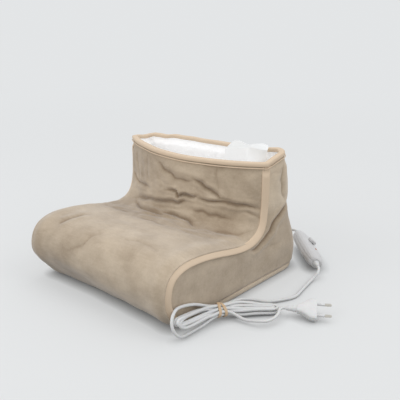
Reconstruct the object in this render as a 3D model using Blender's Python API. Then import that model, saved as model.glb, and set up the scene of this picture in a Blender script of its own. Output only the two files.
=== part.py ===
"""An electric foot warmer: one plush-lined fabric boot for both feet, with a heating pad in its sole.

A hand controller with a sliding heat knob lies on the floor beside the heel, between the lead from the
boot and the mains cord, which is tied in a hank and ends in a flat two-pin plug.

Metres, +Z up. The toe points to -Y and +X is the side where the controller lies. The origin is on the
floor, under the middle of the boot. The fabric panels are flat patterns that are bent into place by
three maps: front_point over the toe and up the shaft, side_point round the heel corners, and
back_point up the back.
"""

import math

import bmesh
import bpy
from mathutils import Matrix, Vector

MM = 0.001
CLEARANCE = 0.3 * MM
OVERRUN = 5 * MM

# Boot
WIDTH = 272 * MM
LENGTH = 305 * MM
FRONT_HEIGHT = 184 * MM
BACK_HEIGHT = 192 * MM
HALF = WIDTH / 2
TOE_Y = -LENGTH / 2
HEEL_Y = LENGTH / 2
PANEL = 4 * MM
PLUSH = 8 * MM
PLUSH_AT_RIM = 1.8 * MM
HEEL_CORNER_LOW = 28 * MM
HEEL_CORNER_HIGH = 15 * MM
REAR_HOLLOW = 10 * MM
REAR_HOLLOW_LOW_SHARE = 0.52

# The boot's side outline from the floor under the toe to the rim: shares of LENGTH from the toe, and of
# FRONT_HEIGHT. The first list is the seam at the side, the second the middle of the front panel.
SEAM_SHARES = (
    (0.200, 0.000), (0.122, 0.022), (0.048, 0.100), (0.007, 0.230), (0.010, 0.370), (0.046, 0.467),
    (0.118, 0.516), (0.216, 0.519), (0.328, 0.495), (0.439, 0.457), (0.540, 0.428), (0.610, 0.429),
    (0.660, 0.467), (0.690, 0.538), (0.704, 0.630), (0.708, 0.761), (0.708, 0.880), (0.711, 1.000),
)
MIDDLE_SHARES = (
    (0.200, 0.000), (0.122, 0.022), (0.048, 0.100), (0.004, 0.235), (0.004, 0.375), (0.043, 0.486),
    (0.115, 0.543), (0.207, 0.552), (0.302, 0.535), (0.387, 0.514), (0.452, 0.500), (0.492, 0.511),
    (0.518, 0.543), (0.531, 0.592), (0.538, 0.663), (0.541, 0.772), (0.544, 0.880), (0.549, 1.000),
)
# The back of the boot from the floor to the rim: shares of LENGTH from the toe, and of BACK_HEIGHT.
BACK_SHARES = (
    (0.980, 0.000), (0.993, 0.040), (1.000, 0.110), (0.994, 0.190), (0.966, 0.310), (0.925, 0.455),
    (0.893, 0.600), (0.876, 0.730), (0.858, 0.860), (0.838, 1.000),
)
FRONT_STEPS = 28
PANEL_COLUMNS = 10
LINING_START_ROW = 3
BACK_ROWS = 12
BACK_COLUMNS = 10
BEND_STRIPS = 10
BEND_LEVELS = 16

# Bias bindings
BINDING_WIDTH = 9 * MM
BINDING_THICK = 3.4 * MM
BINDING_SINK = 1 * MM
BINDING_SIDES = 8
BINDING_LIFT = 6.5 * MM
SETBACK = math.sqrt(2) * (BINDING_SINK + BINDING_THICK / 2 + CLEARANCE)
RIM_TAPE = 1 * MM
RIM_COVER = 6 * MM
RIM_CROWN = 1.5 * MM
RIM_CORNER = 7 * MM
PIPING = 1.6 * MM
PIPING_DROP = 2.4 * MM

# Sole, from the floor up
TRAY_FLOOR = 2.5 * MM
TRAY_RIM = 9 * MM
TRAY_ROLL = 5 * MM
FOAM = 8 * MM
FELT = 2.5 * MM
HEAT_WIRE = 1.8 * MM
FELT_WIDTH = 222 * MM
FELT_LENGTH = 214 * MM
FELT_REAR_GAP = 34 * MM
WIRE_PASSES = 10
WIRE_MARGIN = 14 * MM
WIRE_TURN_STEPS = 4
THERMOSTAT = (16 * MM, 7 * MM, 4 * MM)
FUSE_RADIUS = 1.6 * MM
FUSE_LENGTH = 12 * MM
FUSE_OFFSET = 32 * MM
JOINT_BLOCK = (26 * MM, 11 * MM, 4.6 * MM)

# Care label: a folded leaf sewn in at the back of the rim
LABEL_X = 62 * MM
LABEL_WIDTH = 24 * MM
LABEL_THICK = 0.8 * MM
LABEL_RISE = 7 * MM
LABEL_REACH = 16 * MM
LABEL_TAIL = 13 * MM
LABEL_ROOT = 12 * MM

# Cord, and the gland where it enters the heel
CORD = 4.4 * MM
GLAND_X = 34 * MM
GLAND_NECK = 2.5 * MM
GLAND_SLEEVE = 4.4 * MM
GLAND_TIP = 3 * MM
GLAND_LENGTH = 12 * MM
GLAND_FLANGE = 5.4 * MM
GLAND_FLANGE_THICK = 1.6 * MM
RELIEF_RIBS = 4

# Hand controller
CONTROL_NEAR = Vector((182 * MM, 140 * MM, 14.5 * MM))
CONTROL_FAR = Vector((93 * MM, 220 * MM, 20 * MM))
CONTROL_ROLL = math.radians(42)
CONTROL_LENGTH = 100 * MM
CONTROL_WIDTH = 36 * MM
CONTROL_THICK = 23 * MM
CONTROL_WALL = 2 * MM
CONTROL_END_SHARE = 0.45
CONTROL_BLOCK = 16 * MM
CONTROL_STATIONS = 12
CONTROL_SIDES = 20
CONTROL_POWER_SHARE = 0.8
SLIDE_TRAVEL = 18 * MM
SLOT_WIDTH = 4 * MM
KNOB = (9 * MM, 12 * MM, 4.2 * MM)
KNOB_RIDGE = 1.2 * MM
KNOB_STEM = (5 * MM, 3.2 * MM)
KNOB_FOOT = (12 * MM, 9 * MM, 1.6 * MM)
CONTROL_ROUND_POWER = 3.2
CONTROL_THICK_KEPT = 0.25
KNOB_CENTRE = 6 * MM
ROOF_SHARE = 1.6
BOARD = (58 * MM, 22 * MM, 1.4 * MM)
BOARD_POST = 3 * MM
BOARD_DROP = 4.4 * MM
SWITCH = (34 * MM, 12 * MM)
LAMP_RADIUS = 1.5 * MM
LAMP_PROUD = 0.8 * MM
LAMP_OFFSET = 26 * MM
SCREW_RADIUS = 1.4 * MM
SCREW_HEAD_RADIUS = 2.6 * MM
SCREW_HEAD = 1.8 * MM
SCREW_LENGTH = 13 * MM
SCREW_INSET = 9 * MM
RELIEF_LENGTH = 11 * MM
RELIEF_ROOT = 4.6 * MM
RELIEF_TIP = 3.1 * MM
RELIEF_NECK = 2.9 * MM
RELIEF_PLUG_IN = 4 * MM

# Coil of spare lead behind the heel
COIL_CENTRE = Vector((8 * MM, 205 * MM, 0))
COIL_RADIUS = 26 * MM
COIL_TURNS = 3
COIL_START = math.radians(-20)
LOOP_POINTS = 24
STRAND_PITCH = CORD + 1.2 * MM

# Hank of the mains cord: the middle line from its end by the toe to its end by the plug
HANK_LEFT = Vector((151 * MM, -153 * MM, 24.6 * MM))
HANK_WAIST = Vector((157 * MM, -57 * MM, 15.6 * MM))
HANK_RIGHT = Vector((209 * MM, 6.2 * MM, 5.6 * MM))
HANK_LOOPS = 5
HANK_START_POINT = 2
HANK_END_POINT = 1
HANK_LEFT_BULGE = 22 * MM
HANK_RIGHT_BULGE = 30 * MM
HANK_LEFT_TWIST = math.radians(72)
HANK_WAIST_TWIST = math.radians(38)
HANK_FLOOR = 0.3 * MM
HANK_ROUND = 0.71
HANK_NARROW = 0.34
HANK_SPREAD = 0.35
HANK_TIED = 0.1
BAND_WIDTH = 9 * MM
BAND_THICK = 1.6 * MM
BAND_STEPS = 24

# Mains plug
PLUG_ROOT = Vector((232 * MM, 9 * MM, 13 * MM))
PLUG_HEADING = math.radians(33)
PLUG_ROLL = math.radians(24)
PLUG_LENGTH = 27 * MM
PLUG_WIDTH = 35 * MM
PLUG_THICK = 13.6 * MM
PLUG_SIDES = 20
# Along the plug from its neck to its face: share of the length, of the width and of the thickness.
PLUG_POWER_ACROSS = 0.7
PLUG_POWER_UP = 0.5
PLUG_SHARES = (
    (0.00, 0.34, 0.74), (0.20, 0.42, 0.84), (0.42, 0.66, 0.93), (0.62, 0.90, 0.98), (0.80, 0.99, 1.00),
    (0.96, 1.00, 1.00), (1.00, 0.95, 0.90),
)
PIN_SPACING = 18.6 * MM
PIN_RADIUS = 2 * MM
PIN_CORE = 1.2 * MM
PIN_SLEEVE_RADIUS = 1.9 * MM
PIN_SLEEVE = 10 * MM
PIN_TIP = 9 * MM
PIN_ROOT = 6 * MM
PLUG_RELIEF_LENGTH = 15 * MM
PLUG_RELIEF_ROOT = 5 * MM

# Routes of the free cords, between the pieces that they join
LEAD_OUT_ROUTE = ((0.0335, 0.178, 0.0085),)
LEAD_IN_ROUTE = ((0.048, 0.224, 0.006), (0.069, 0.2365, 0.014))
MAINS_ROUTE = ((0.1885, 0.115, 0.0035), (0.194, 0.083, 0.0024), (0.199, 0.054, 0.0024), (0.191, 0.032, 0.0028))


def clear_scene():
    for thing in list(bpy.data.objects):
        bpy.data.objects.remove(thing, do_unlink=True)


def material(name, colour, roughness, metallic=0.0):
    made = bpy.data.materials.get(name)
    if made is None:
        made = bpy.data.materials.new(name)
        made.use_nodes = True
        shader = made.node_tree.nodes["Principled BSDF"]
        shader.inputs["Base Color"].default_value = (*colour, 1)
        shader.inputs["Roughness"].default_value = roughness
        shader.inputs["Metallic"].default_value = metallic
        made.diffuse_color = (*colour, 1)
    return made


def suede():
    return material("suede", (0.44, 0.34, 0.23), 0.9)


def cream_tape():
    return material("cream tape", (0.78, 0.62, 0.43), 0.8)


def plush():
    return material("white plush", (0.86, 0.86, 0.84), 1.0)


def white_plastic():
    return material("white plastic", (0.84, 0.84, 0.83), 0.35)


def white_vinyl():
    return material("white vinyl", (0.86, 0.86, 0.85), 0.45)


def grey_foam():
    return material("grey foam", (0.45, 0.45, 0.45), 1.0)


def felt():
    return material("cream felt", (0.75, 0.70, 0.60), 1.0)


def metal():
    return material("nickel", (0.62, 0.60, 0.56), 0.3, 1.0)


def rubber_band():
    return material("tan rubber", (0.62, 0.40, 0.20), 0.6)


def board_green():
    return material("circuit board", (0.05, 0.22, 0.10), 0.5)


def add_object(name, mesh, look, smooth_angle=math.radians(40)):
    thing = bpy.data.objects.new(name, mesh)
    bpy.context.scene.collection.objects.link(thing)
    if look is not None:
        mesh.materials.append(look)
    mesh.shade_smooth()
    mesh.set_sharp_from_angle(angle=smooth_angle)
    return thing


def mesh_object(name, points, faces, look):
    """An object of the given points and faces, turned so that its faces look out."""
    mesh = bpy.data.meshes.new(name)
    mesh.from_pydata([tuple(p) for p in points], [], faces)
    shape = bmesh.new()
    shape.from_mesh(mesh)
    bmesh.ops.recalc_face_normals(shape, faces=shape.faces)
    if shape.calc_volume(signed=True) < 0:
        bmesh.ops.reverse_faces(shape, faces=shape.faces)
    shape.to_mesh(mesh)
    shape.free()
    return add_object(name, mesh, look)


def smooth_at(points, place):
    """The point at a place, counted in points, on the smooth curve through the points."""
    last = len(points) - 1
    first = min(max(int(math.floor(place)), 0), last - 1)
    u = place - first
    p1 = points[first]
    p2 = points[first + 1]
    p0 = points[first - 1] if first > 0 else [2 * a - b for a, b in zip(p1, p2)]
    p3 = points[first + 2] if first + 2 <= last else [2 * b - a for a, b in zip(p1, p2)]
    value = []
    for a, b, c, d in zip(p0, p1, p2, p3):
        value.append(
            0.5 * (2 * b + (c - a) * u + (2 * a - 5 * b + 4 * c - d) * u * u
                   + (3 * b - a - 3 * c + d) * u * u * u)
        )
    return value


def blend(low, high, share):
    return low + (high - low) * share


def ease(share):
    share = min(max(share, 0.0), 1.0)
    return share * share * (3 - 2 * share)


SEAM_END = len(SEAM_SHARES) - 1
BACK_END = len(BACK_SHARES) - 1


def outline_at(shares, place, height):
    y_share, z_share = smooth_at(shares, place)
    return TOE_Y + y_share * LENGTH, z_share * height


def front_surface(place, x):
    """A point on the outside of the front panel. The panel is fuller in the middle than at its seams."""
    seam_y, seam_z = outline_at(SEAM_SHARES, place, FRONT_HEIGHT)
    middle_y, middle_z = outline_at(MIDDLE_SHARES, place, FRONT_HEIGHT)
    fullness = 1 - (x / HALF) ** 2
    return Vector((x, blend(seam_y, middle_y, fullness), blend(seam_z, middle_z, fullness)))


def front_point(place, x, depth):
    """A point at a depth below the front panel's outside."""
    step = 0.01
    along = front_surface(place + step, x) - front_surface(place - step, x)
    across = front_surface(place, x + step * HALF) - front_surface(place, x - step * HALF)
    return front_surface(place, x) - across.cross(along).normalized() * depth


def front_place_below_rim(drop):
    """The place on the front outline that lies a drop below the rim."""
    rise = (SEAM_SHARES[-1][1] - SEAM_SHARES[-2][1]) * FRONT_HEIGHT
    return SEAM_END - drop / rise


def back_y(z):
    """How far back the boot reaches at a height."""
    low, high = 0.0, float(BACK_END)
    for _ in range(30):
        middle = (low + high) / 2
        if outline_at(BACK_SHARES, middle, BACK_HEIGHT)[1] < z:
            low = middle
        else:
            high = middle
    return outline_at(BACK_SHARES, low, BACK_HEIGHT)[0]


def corner_radius(z):
    return blend(HEEL_CORNER_LOW, HEEL_CORNER_HIGH, z / BACK_HEIGHT)


def corner_start(z):
    return back_y(z) - corner_radius(z)


def seam_reach(z):
    """How far along the side pattern the seam with the back panel lies."""
    return corner_start(z) + corner_radius(z) * math.pi / 2


def side_point(side, reach, z, depth):
    """A point of the side pattern, bent round the heel corner."""
    start = corner_start(z)
    if reach <= start:
        return Vector((side * (HALF - depth), reach, z))
    radius = corner_radius(z)
    turn = (reach - start) / radius
    return Vector((
        side * (HALF - radius + (radius - depth) * math.cos(turn)),
        start + (radius - depth) * math.sin(turn),
        z,
    ))


def back_point(share, z, depth):
    """A point of the back panel: share runs from -1 at one seam to 1 at the other."""
    hollow = REAR_HOLLOW * ease((z / BACK_HEIGHT - REAR_HOLLOW_LOW_SHARE) / (1 - REAR_HOLLOW_LOW_SHARE))
    x = share * (HALF - corner_radius(z) - CLEARANCE / 2)
    return Vector((x, back_y(z) - hollow * (1 - share * share) - depth, z))


def rim_z(reach):
    """The height of the wall's top edge along the side, from the front seam to the back seam."""
    start = TOE_Y + SEAM_SHARES[-1][0] * LENGTH
    end = seam_reach(BACK_HEIGHT)
    return blend(FRONT_HEIGHT, BACK_HEIGHT, (reach - start) / (end - start))


def grid_solid(name, rows, columns, outer, inner, look):
    """A closed sheet: outer and inner give the point at a row and a column."""
    points, faces = [], []
    for layer in (outer, inner):
        for i in range(rows + 1):
            for j in range(columns + 1):
                points.append(layer(i, j))
    wide = columns + 1
    under = (rows + 1) * wide
    for i in range(rows):
        for j in range(columns):
            a = i * wide + j
            faces.append((a, a + 1, a + 1 + wide, a + wide))
            faces.append((under + a, under + a + wide, under + a + 1 + wide, under + a + 1))
    edge = [j for j in range(columns)]
    edge += [i * wide + columns for i in range(rows)]
    edge += [rows * wide + columns - j for j in range(columns)]
    edge += [(rows - i) * wide for i in range(rows)]
    for k, a in enumerate(edge):
        b = edge[(k + 1) % len(edge)]
        faces.append((a, under + a, under + b, b))
    return mesh_object(name, points, faces, look)


def swept_solid(name, sections, look, closed=False):
    """A solid through rings of as many points each, capped at both ends or closed on itself."""
    size = len(sections[0])
    points = [p for section in sections for p in section]
    faces = []
    count = len(sections)
    for i in range(count if closed else count - 1):
        for j in range(size):
            a, b = i * size, (i + 1) % count * size
            k = (j + 1) % size
            faces.append((a + j, a + k, b + k, b + j))
    if not closed:
        faces.append(tuple(range(size)))
        faces.append(tuple(range((count - 1) * size, count * size)))
    return mesh_object(name, points, faces, look)


def turned_solid(name, profile, sides, place, look):
    """A turned solid: profile gives (along, radius) from end to end, and place puts it in the scene."""
    rings = []
    for along, radius in profile:
        ring = []
        for k in range(sides):
            turn = math.tau * k / sides
            ring.append(place @ Vector((along, radius * math.cos(turn), radius * math.sin(turn))))
        rings.append(ring)
    return swept_solid(name, rings, look)


def turned_ring(name, outer, inner, start, end, sides, place, look):
    """A short round sleeve with a bore."""
    rings = []
    for k in range(sides):
        turn = math.tau * k / sides
        ring = []
        for along, radius in ((start, inner), (start, outer), (end, outer), (end, inner)):
            ring.append(place @ Vector((along, radius * math.cos(turn), radius * math.sin(turn))))
        rings.append(ring)
    return swept_solid(name, rings, look, closed=True)


def pattern_solid(name, outline, cuts, place, layers, look):
    """A flat pattern, cut into strips where it will bend, given its thickness and bent into place."""
    shape = bmesh.new()
    face = shape.faces.new([shape.verts.new((u, v, 0)) for u, v in outline])
    grown = bmesh.ops.extrude_face_region(shape, geom=[face])
    for vert in [v for v in grown["geom"] if isinstance(v, bmesh.types.BMVert)]:
        vert.co.z = 1
    for on_line, normal, start in cuts:
        faces = [f for f in shape.faces if min(v.co.x for v in f.verts) > start - CLEARANCE / 10]
        edges = {e for f in faces for e in f.edges}
        verts = {v for f in faces for v in f.verts}
        bmesh.ops.bisect_plane(
            shape, geom=[*verts, *edges, *faces], plane_co=on_line, plane_no=normal, dist=CLEARANCE / 10,
        )
    bmesh.ops.triangulate(shape, faces=shape.faces)
    for vert in shape.verts:
        u, v, layer = vert.co
        vert.co = place(u, v, layers(u, v)[1 if layer > 0.5 else 0])
    bmesh.ops.recalc_face_normals(shape, faces=shape.faces)
    if shape.calc_volume(signed=True) < 0:
        bmesh.ops.reverse_faces(shape, faces=shape.faces)
    mesh = bpy.data.meshes.new(name)
    shape.to_mesh(mesh)
    shape.free()
    return add_object(name, mesh, look)


def box_solid(name, low, high, place, look):
    corners = [
        place @ Vector((x, y, z))
        for x in (low[0], high[0]) for y in (low[1], high[1]) for z in (low[2], high[2])
    ]
    faces = [(0, 1, 3, 2), (4, 6, 7, 5), (0, 4, 5, 1), (2, 3, 7, 6), (0, 2, 6, 4), (1, 5, 7, 3)]
    return mesh_object(name, corners, faces, look)


def hang_from(name, place, make):
    """Makes pieces in a frame of their own and hangs them from an empty at the frame's place."""
    there = set(bpy.data.objects)
    make()
    made = [thing for thing in bpy.data.objects if thing not in there and thing.parent is None]
    empty = bpy.data.objects.new(name, None)
    bpy.context.scene.collection.objects.link(empty)
    empty.location = place.to_translation()
    empty.rotation_euler = place.to_euler()
    for thing in made:
        thing.parent = empty


def cut(thing, cutter, operation="DIFFERENCE"):
    cutter.hide_render = True
    cutter.display_type = "WIRE"
    change = thing.modifiers.new(cutter.name, "BOOLEAN")
    change.operation = operation
    change.solver = "EXACT"
    change.object = cutter


def seam_inset(place, inset):
    """The side seam's outline in its own plane, moved into the boot by an inset."""
    step = 0.01
    y0, z0 = outline_at(SEAM_SHARES, place - step, FRONT_HEIGHT)
    y1, z1 = outline_at(SEAM_SHARES, place + step, FRONT_HEIGHT)
    long = math.hypot(y1 - y0, z1 - z0)
    y, z = outline_at(SEAM_SHARES, place, FRONT_HEIGHT)
    return y + (z1 - z0) / long * inset, z - (y1 - y0) / long * inset


WALL_TOP = RIM_TAPE + CLEARANCE
TRAY_FRONT = TOE_Y + SEAM_SHARES[0][0] * LENGTH + PANEL / 2 + CLEARANCE
WALL_FOOT = TRAY_RIM + CLEARANCE
FOAM_Z = TRAY_FLOOR + CLEARANCE
FELT_Z = FOAM_Z + FOAM + CLEARANCE
WIRE_Z = FELT_Z + FELT + CLEARANCE
PAD_Z = WIRE_Z + HEAT_WIRE + CLEARANCE
LINING_FOOT = PAD_Z + PLUSH + CLEARANCE
LINING_DEPTH = PANEL + 2 * CLEARANCE
PLUSH_SWELL = 11 * MM
LINING_INSET_SHARE = 1.7
HEEL_SEAM_STEPS = 10
RIM_STEPS = 4
TRAY_ROLL_FOOT = 0.8
TRAY_ROLL_TURN = 0.3


def plush_depth(drop):
    """How deep the lining's inner face lies at a drop below the wall's top, where it is sewn thin."""
    swell = ease((drop - RIM_COVER) / PLUSH_SWELL)
    return LINING_DEPTH + blend(PLUSH_AT_RIM, PLUSH, swell)


def front_places():
    """The rows of the front panel and its lining: even ones up to the rim's seam, and the wall's top."""
    sewn = front_place_below_rim(RIM_COVER + WALL_TOP + CLEARANCE)
    return [sewn * i / FRONT_STEPS for i in range(FRONT_STEPS + 1)] + [front_place_below_rim(WALL_TOP)]


def make_top_panel():
    half = HALF - SETBACK
    places = front_places()

    def outer(i, j):
        return front_point(places[i], half * (2 * j / PANEL_COLUMNS - 1), 0)

    def inner(i, j):
        return front_point(places[i], half * (2 * j / PANEL_COLUMNS - 1), PANEL)

    grid_solid("top_panel", len(places) - 1, PANEL_COLUMNS, outer, inner, suede())


def make_lining_top():
    """The front lining starts a few rows up the toe, where the sole lining comes to meet it."""
    half = HALF - LINING_DEPTH - PLUSH - CLEARANCE
    places = front_places()[LINING_START_ROW:]
    fall = (SEAM_SHARES[-1][1] - SEAM_SHARES[-2][1]) * FRONT_HEIGHT

    def outer(i, j):
        return front_point(places[i], half * (2 * j / PANEL_COLUMNS - 1), LINING_DEPTH)

    def inner(i, j):
        depth = plush_depth((places[-1] - places[i]) * fall)
        return front_point(places[i], half * (2 * j / PANEL_COLUMNS - 1), depth)

    grid_solid("lining_top", len(places) - 1, PANEL_COLUMNS, outer, inner, plush())


def side_outline(inset, foot, top_gap, seam_gap, steps):
    """The side pattern: up the front seam, back along the rim, down the heel seam and along the foot."""
    points = []
    for i in range(steps + 1):
        y, z = seam_inset(SEAM_END * i / steps, inset)
        ahead_of_tray = y < TRAY_FRONT - CLEARANCE or z > foot + inset
        below_rim = z < rim_z(y) - top_gap - CLEARANCE
        if ahead_of_tray and below_rim and (z > foot or foot < LINING_FOOT):
            points.append((y, z))
    start = points[-1][0]
    end = seam_reach(BACK_HEIGHT) - seam_gap
    for i in range(RIM_STEPS + 1):
        reach = blend(start, end, i / RIM_STEPS)
        points.append((reach, (rim_z(reach) if i else FRONT_HEIGHT) - top_gap))
    for i in range(1, HEEL_SEAM_STEPS + 1):
        z = blend(points[-1][1] if i == 1 else BACK_HEIGHT - top_gap, foot, i / HEEL_SEAM_STEPS)
        points.append((seam_reach(z) - seam_gap, z))
    if foot < LINING_FOOT:
        points.append((TRAY_FRONT - CLEARANCE, foot))
    return points


def bend_cuts():
    """Lines across the side pattern, as a place, a way and where they start: bends, levels, rim seam."""
    low, high = corner_start(BACK_HEIGHT), seam_reach(WALL_FOOT)
    cuts = [
        (Vector((blend(low, high, k / BEND_STRIPS), 0, 0)), Vector((1, 0, 0)), -LENGTH)
        for k in range(BEND_STRIPS)
    ]
    cuts += [
        (Vector((0, BACK_HEIGHT * k / BEND_LEVELS, 0)), Vector((0, 1, 0)), low)
        for k in range(1, BEND_LEVELS)
    ]
    slope = (rim_z(HEEL_Y) - rim_z(0)) / HEEL_Y
    for drop in (RIM_COVER + CLEARANCE, RIM_COVER + PLUSH_SWELL / 2, RIM_COVER + PLUSH_SWELL):
        on_line = Vector((0, rim_z(0) - WALL_TOP - drop, 0))
        cuts.append((on_line, Vector((-slope, 1, 0)).normalized(), -LENGTH))
    return cuts


def make_side_panels():
    outline = side_outline(SETBACK, WALL_FOOT, WALL_TOP, CLEARANCE / 2, FRONT_STEPS)
    for side, word in ((-1, "left"), (1, "right")):
        def place(u, v, depth, side=side):
            return side_point(side, u, v, depth)

        def layers(u, v):
            return 0, PANEL

        pattern_solid("side_panel_" + word, outline, bend_cuts(), place, layers, suede())


def make_side_linings():
    inset = PANEL * LINING_INSET_SHARE + CLEARANCE
    outline = side_outline(inset, LINING_FOOT, WALL_TOP, CLEARANCE / 2, FRONT_STEPS * 2 // 3)
    for side, word in ((-1, "left"), (1, "right")):
        def place(u, v, depth, side=side):
            return side_point(side, u, v, depth)

        def layers(u, v):
            return LINING_DEPTH, plush_depth(rim_z(u) - WALL_TOP - v)

        pattern_solid("lining_side_" + word, outline, bend_cuts(), place, layers, plush())


def make_back_panel():
    top = BACK_HEIGHT - WALL_TOP

    def at(depth):
        def point(i, j):
            z = blend(WALL_FOOT, top, i / BACK_ROWS)
            return back_point(2 * j / BACK_COLUMNS - 1, z, depth)
        return point

    panel = grid_solid("back_panel", BACK_ROWS, BACK_COLUMNS, at(0), at(PANEL), suede())
    hole = turned_solid(
        "gland_hole", ((-OVERRUN * 2, GLAND_NECK + CLEARANCE), (OVERRUN, GLAND_NECK + CLEARANCE)),
        12, gland_place(), None,
    )
    cut(panel, hole)


def make_lining_back():
    top = BACK_HEIGHT - WALL_TOP
    rows = BACK_ROWS - 2
    sewn = top - RIM_COVER
    heights = [blend(LINING_FOOT, sewn, i / (rows - 1)) for i in range(rows)] + [top]

    def outer(i, j):
        return back_point(2 * j / BACK_COLUMNS - 1, heights[i], LINING_DEPTH)

    def inner(i, j):
        return back_point(2 * j / BACK_COLUMNS - 1, heights[i], plush_depth(top - heights[i]))

    grid_solid("lining_back", rows, BACK_COLUMNS, outer, inner, plush())


def plan_outline(z, depth, front, corner_steps=6):
    """The boot's plan at a height, from the front left corner round the heel to the front right."""
    left = []
    start, radius = corner_start(z), corner_radius(z)
    for k in range(corner_steps + 1):
        left.append(side_point(-1, start + radius * math.pi / 2 * k / corner_steps, z, depth))
    points = [Vector((-HALF + depth, front, z))] + left
    return points + [Vector((-p.x, p.y, p.z)) for p in reversed(points)]


def make_sole_outer():
    """A shallow tray of sole fabric that turns up round the heel and sides to the wall's foot."""
    low = TRAY_ROLL * TRAY_ROLL_FOOT
    rings = []
    for z, depth in (
        (0, low), (TRAY_ROLL * TRAY_ROLL_TURN, low * TRAY_ROLL_TURN), (TRAY_ROLL, 0), (TRAY_RIM, 0),
        (TRAY_RIM, TRAY_FLOOR), (TRAY_ROLL, TRAY_FLOOR),
        (TRAY_FLOOR, TRAY_FLOOR + low * TRAY_ROLL_TURN),
    ):
        ring = plan_outline(TRAY_RIM, depth, TRAY_FRONT + depth)
        rings.append([Vector((p.x, p.y, z)) for p in ring])
    swept_solid("sole_outer", rings, suede())


def slab(name, low, high, depth, front, look):
    rings = []
    for z in (low, high):
        ring = plan_outline(TRAY_RIM, depth, front)
        rings.append([Vector((p.x, p.y, z)) for p in ring])
    return swept_solid(name, rings, look)


def felt_ends():
    rear = HEEL_Y - FELT_REAR_GAP
    return rear - FELT_LENGTH, rear


def make_sole_layers():
    inside = TRAY_FLOOR + TRAY_ROLL * 0.3
    slab("sole_foam", FOAM_Z, FOAM_Z + FOAM, inside + PANEL / 2, TRAY_FRONT + inside, grey_foam())
    front, rear = felt_ends()
    half = FELT_WIDTH / 2
    pad = box_solid(
        "heating_felt", (-half, front, FELT_Z), (half, rear, FELT_Z + FELT), Matrix(), felt(),
    )
    for cutter in make_sensor_cutters():
        cut(pad, cutter)
    slab("lining_sole", PAD_Z, PAD_Z + PLUSH, PANEL + CLEARANCE * 2, lining_sole_front(), plush())


def lining_sole_front():
    """The sole lining ends where the front lining's lower edge comes down to it."""
    return seam_inset(front_places()[LINING_START_ROW], LINING_DEPTH + PLUSH)[0] + PANEL


def wire_pitch():
    front, rear = felt_ends()
    return (rear - front - 2 * WIRE_MARGIN) / (WIRE_PASSES - 1)


def wire_row(number):
    return felt_ends()[0] + WIRE_MARGIN + wire_pitch() * number


def sensor_y():
    """The thermostat and the fuse lie between two passes of the wire, near the middle."""
    return wire_row(WIRE_PASSES // 2) + wire_pitch() / 2


def make_sensor_cutters():
    y = sensor_y()
    long, wide, _ = THERMOSTAT
    low, high = FELT_Z - OVERRUN, FELT_Z + FELT + OVERRUN
    grown = CLEARANCE
    one = box_solid(
        "thermostat_pocket", (-long / 2 - grown, y - wide / 2 - grown, low),
        (long / 2 + grown, y + wide / 2 + grown, high), Matrix(), None,
    )
    two = box_solid(
        "fuse_pocket", (FUSE_OFFSET - FUSE_LENGTH / 2 - grown, y - FUSE_RADIUS - grown, low),
        (FUSE_OFFSET + FUSE_LENGTH / 2 + grown, y + FUSE_RADIUS + grown, high), Matrix(), None,
    )
    return one, two


def make_heating_parts():
    half = FELT_WIDTH / 2 - WIRE_MARGIN
    z = WIRE_Z + HEAT_WIRE / 2
    turn_radius = wire_pitch() / 2
    route = []
    for number in range(WIRE_PASSES):
        direction = 1 if number % 2 == 0 else -1
        y = wire_row(number)
        route.append((-direction * half, y, z))
        route.append((direction * half, y, z))
        if number < WIRE_PASSES - 1:
            for k in range(1, WIRE_TURN_STEPS):
                turn = math.pi * k / WIRE_TURN_STEPS
                route.append((
                    direction * (half + turn_radius * math.sin(turn)),
                    y + turn_radius * (1 - math.cos(turn)), z,
                ))
    tube("heating_wire", route, HEAT_WIRE, metal(), resolution=1)
    y = sensor_y()
    long, wide, thick = THERMOSTAT
    base = FELT_Z
    box_solid(
        "overheat_thermostat", (-long / 2, y - wide / 2, base), (long / 2, y + wide / 2, base + thick),
        Matrix(), white_plastic(),
    )
    place = Matrix.Translation((FUSE_OFFSET - FUSE_LENGTH / 2, y, base + FUSE_RADIUS))
    taper = FUSE_RADIUS * 0.6
    turned_solid(
        "thermal_fuse",
        ((0, taper), (taper, FUSE_RADIUS), (FUSE_LENGTH - taper, FUSE_RADIUS), (FUSE_LENGTH, taper)),
        10, place, metal(),
    )
    long, wide, thick = JOINT_BLOCK
    front = felt_ends()[1] + CLEARANCE
    box_solid(
        "wire_joint_block", (GLAND_X - long / 2, front, FELT_Z),
        (GLAND_X + long / 2, front + wide, FELT_Z + thick), Matrix(), white_plastic(),
    )
    inner_end = gland_place() @ Vector((-PANEL - CLEARANCE * 2 - GLAND_FLANGE_THICK, 0, 0))
    block_face = Vector((GLAND_X, front + wide + CLEARANCE, inner_end.z))
    tube("lead_inner_end", (block_face, inner_end), CORD, white_vinyl())


def gland_z():
    return FELT_Z + CORD / 2


def gland_place():
    """The gland's axis points straight back out of the heel, from the panel's outside."""
    surface = back_point(GLAND_X / (HALF - corner_radius(gland_z())), gland_z(), 0)
    return Matrix.Translation((GLAND_X, surface.y, gland_z())) @ Matrix.Rotation(math.pi / 2, 4, "Z")


def relief_profile(start, length, root, tip):
    """The ribbed taper of a strain relief as (along, radius) pairs."""
    profile = []
    step = length / (2 * RELIEF_RIBS + 1)
    for k in range(2 * RELIEF_RIBS + 2):
        radius = blend(root, tip, k / (2 * RELIEF_RIBS + 1))
        groove = 0 if k % 4 in (0, 1) else (root - tip) * 0.35 + CLEARANCE
        profile.append((start + step * k, radius - groove))
    profile[-1] = (start + length, tip)
    return profile


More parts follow.
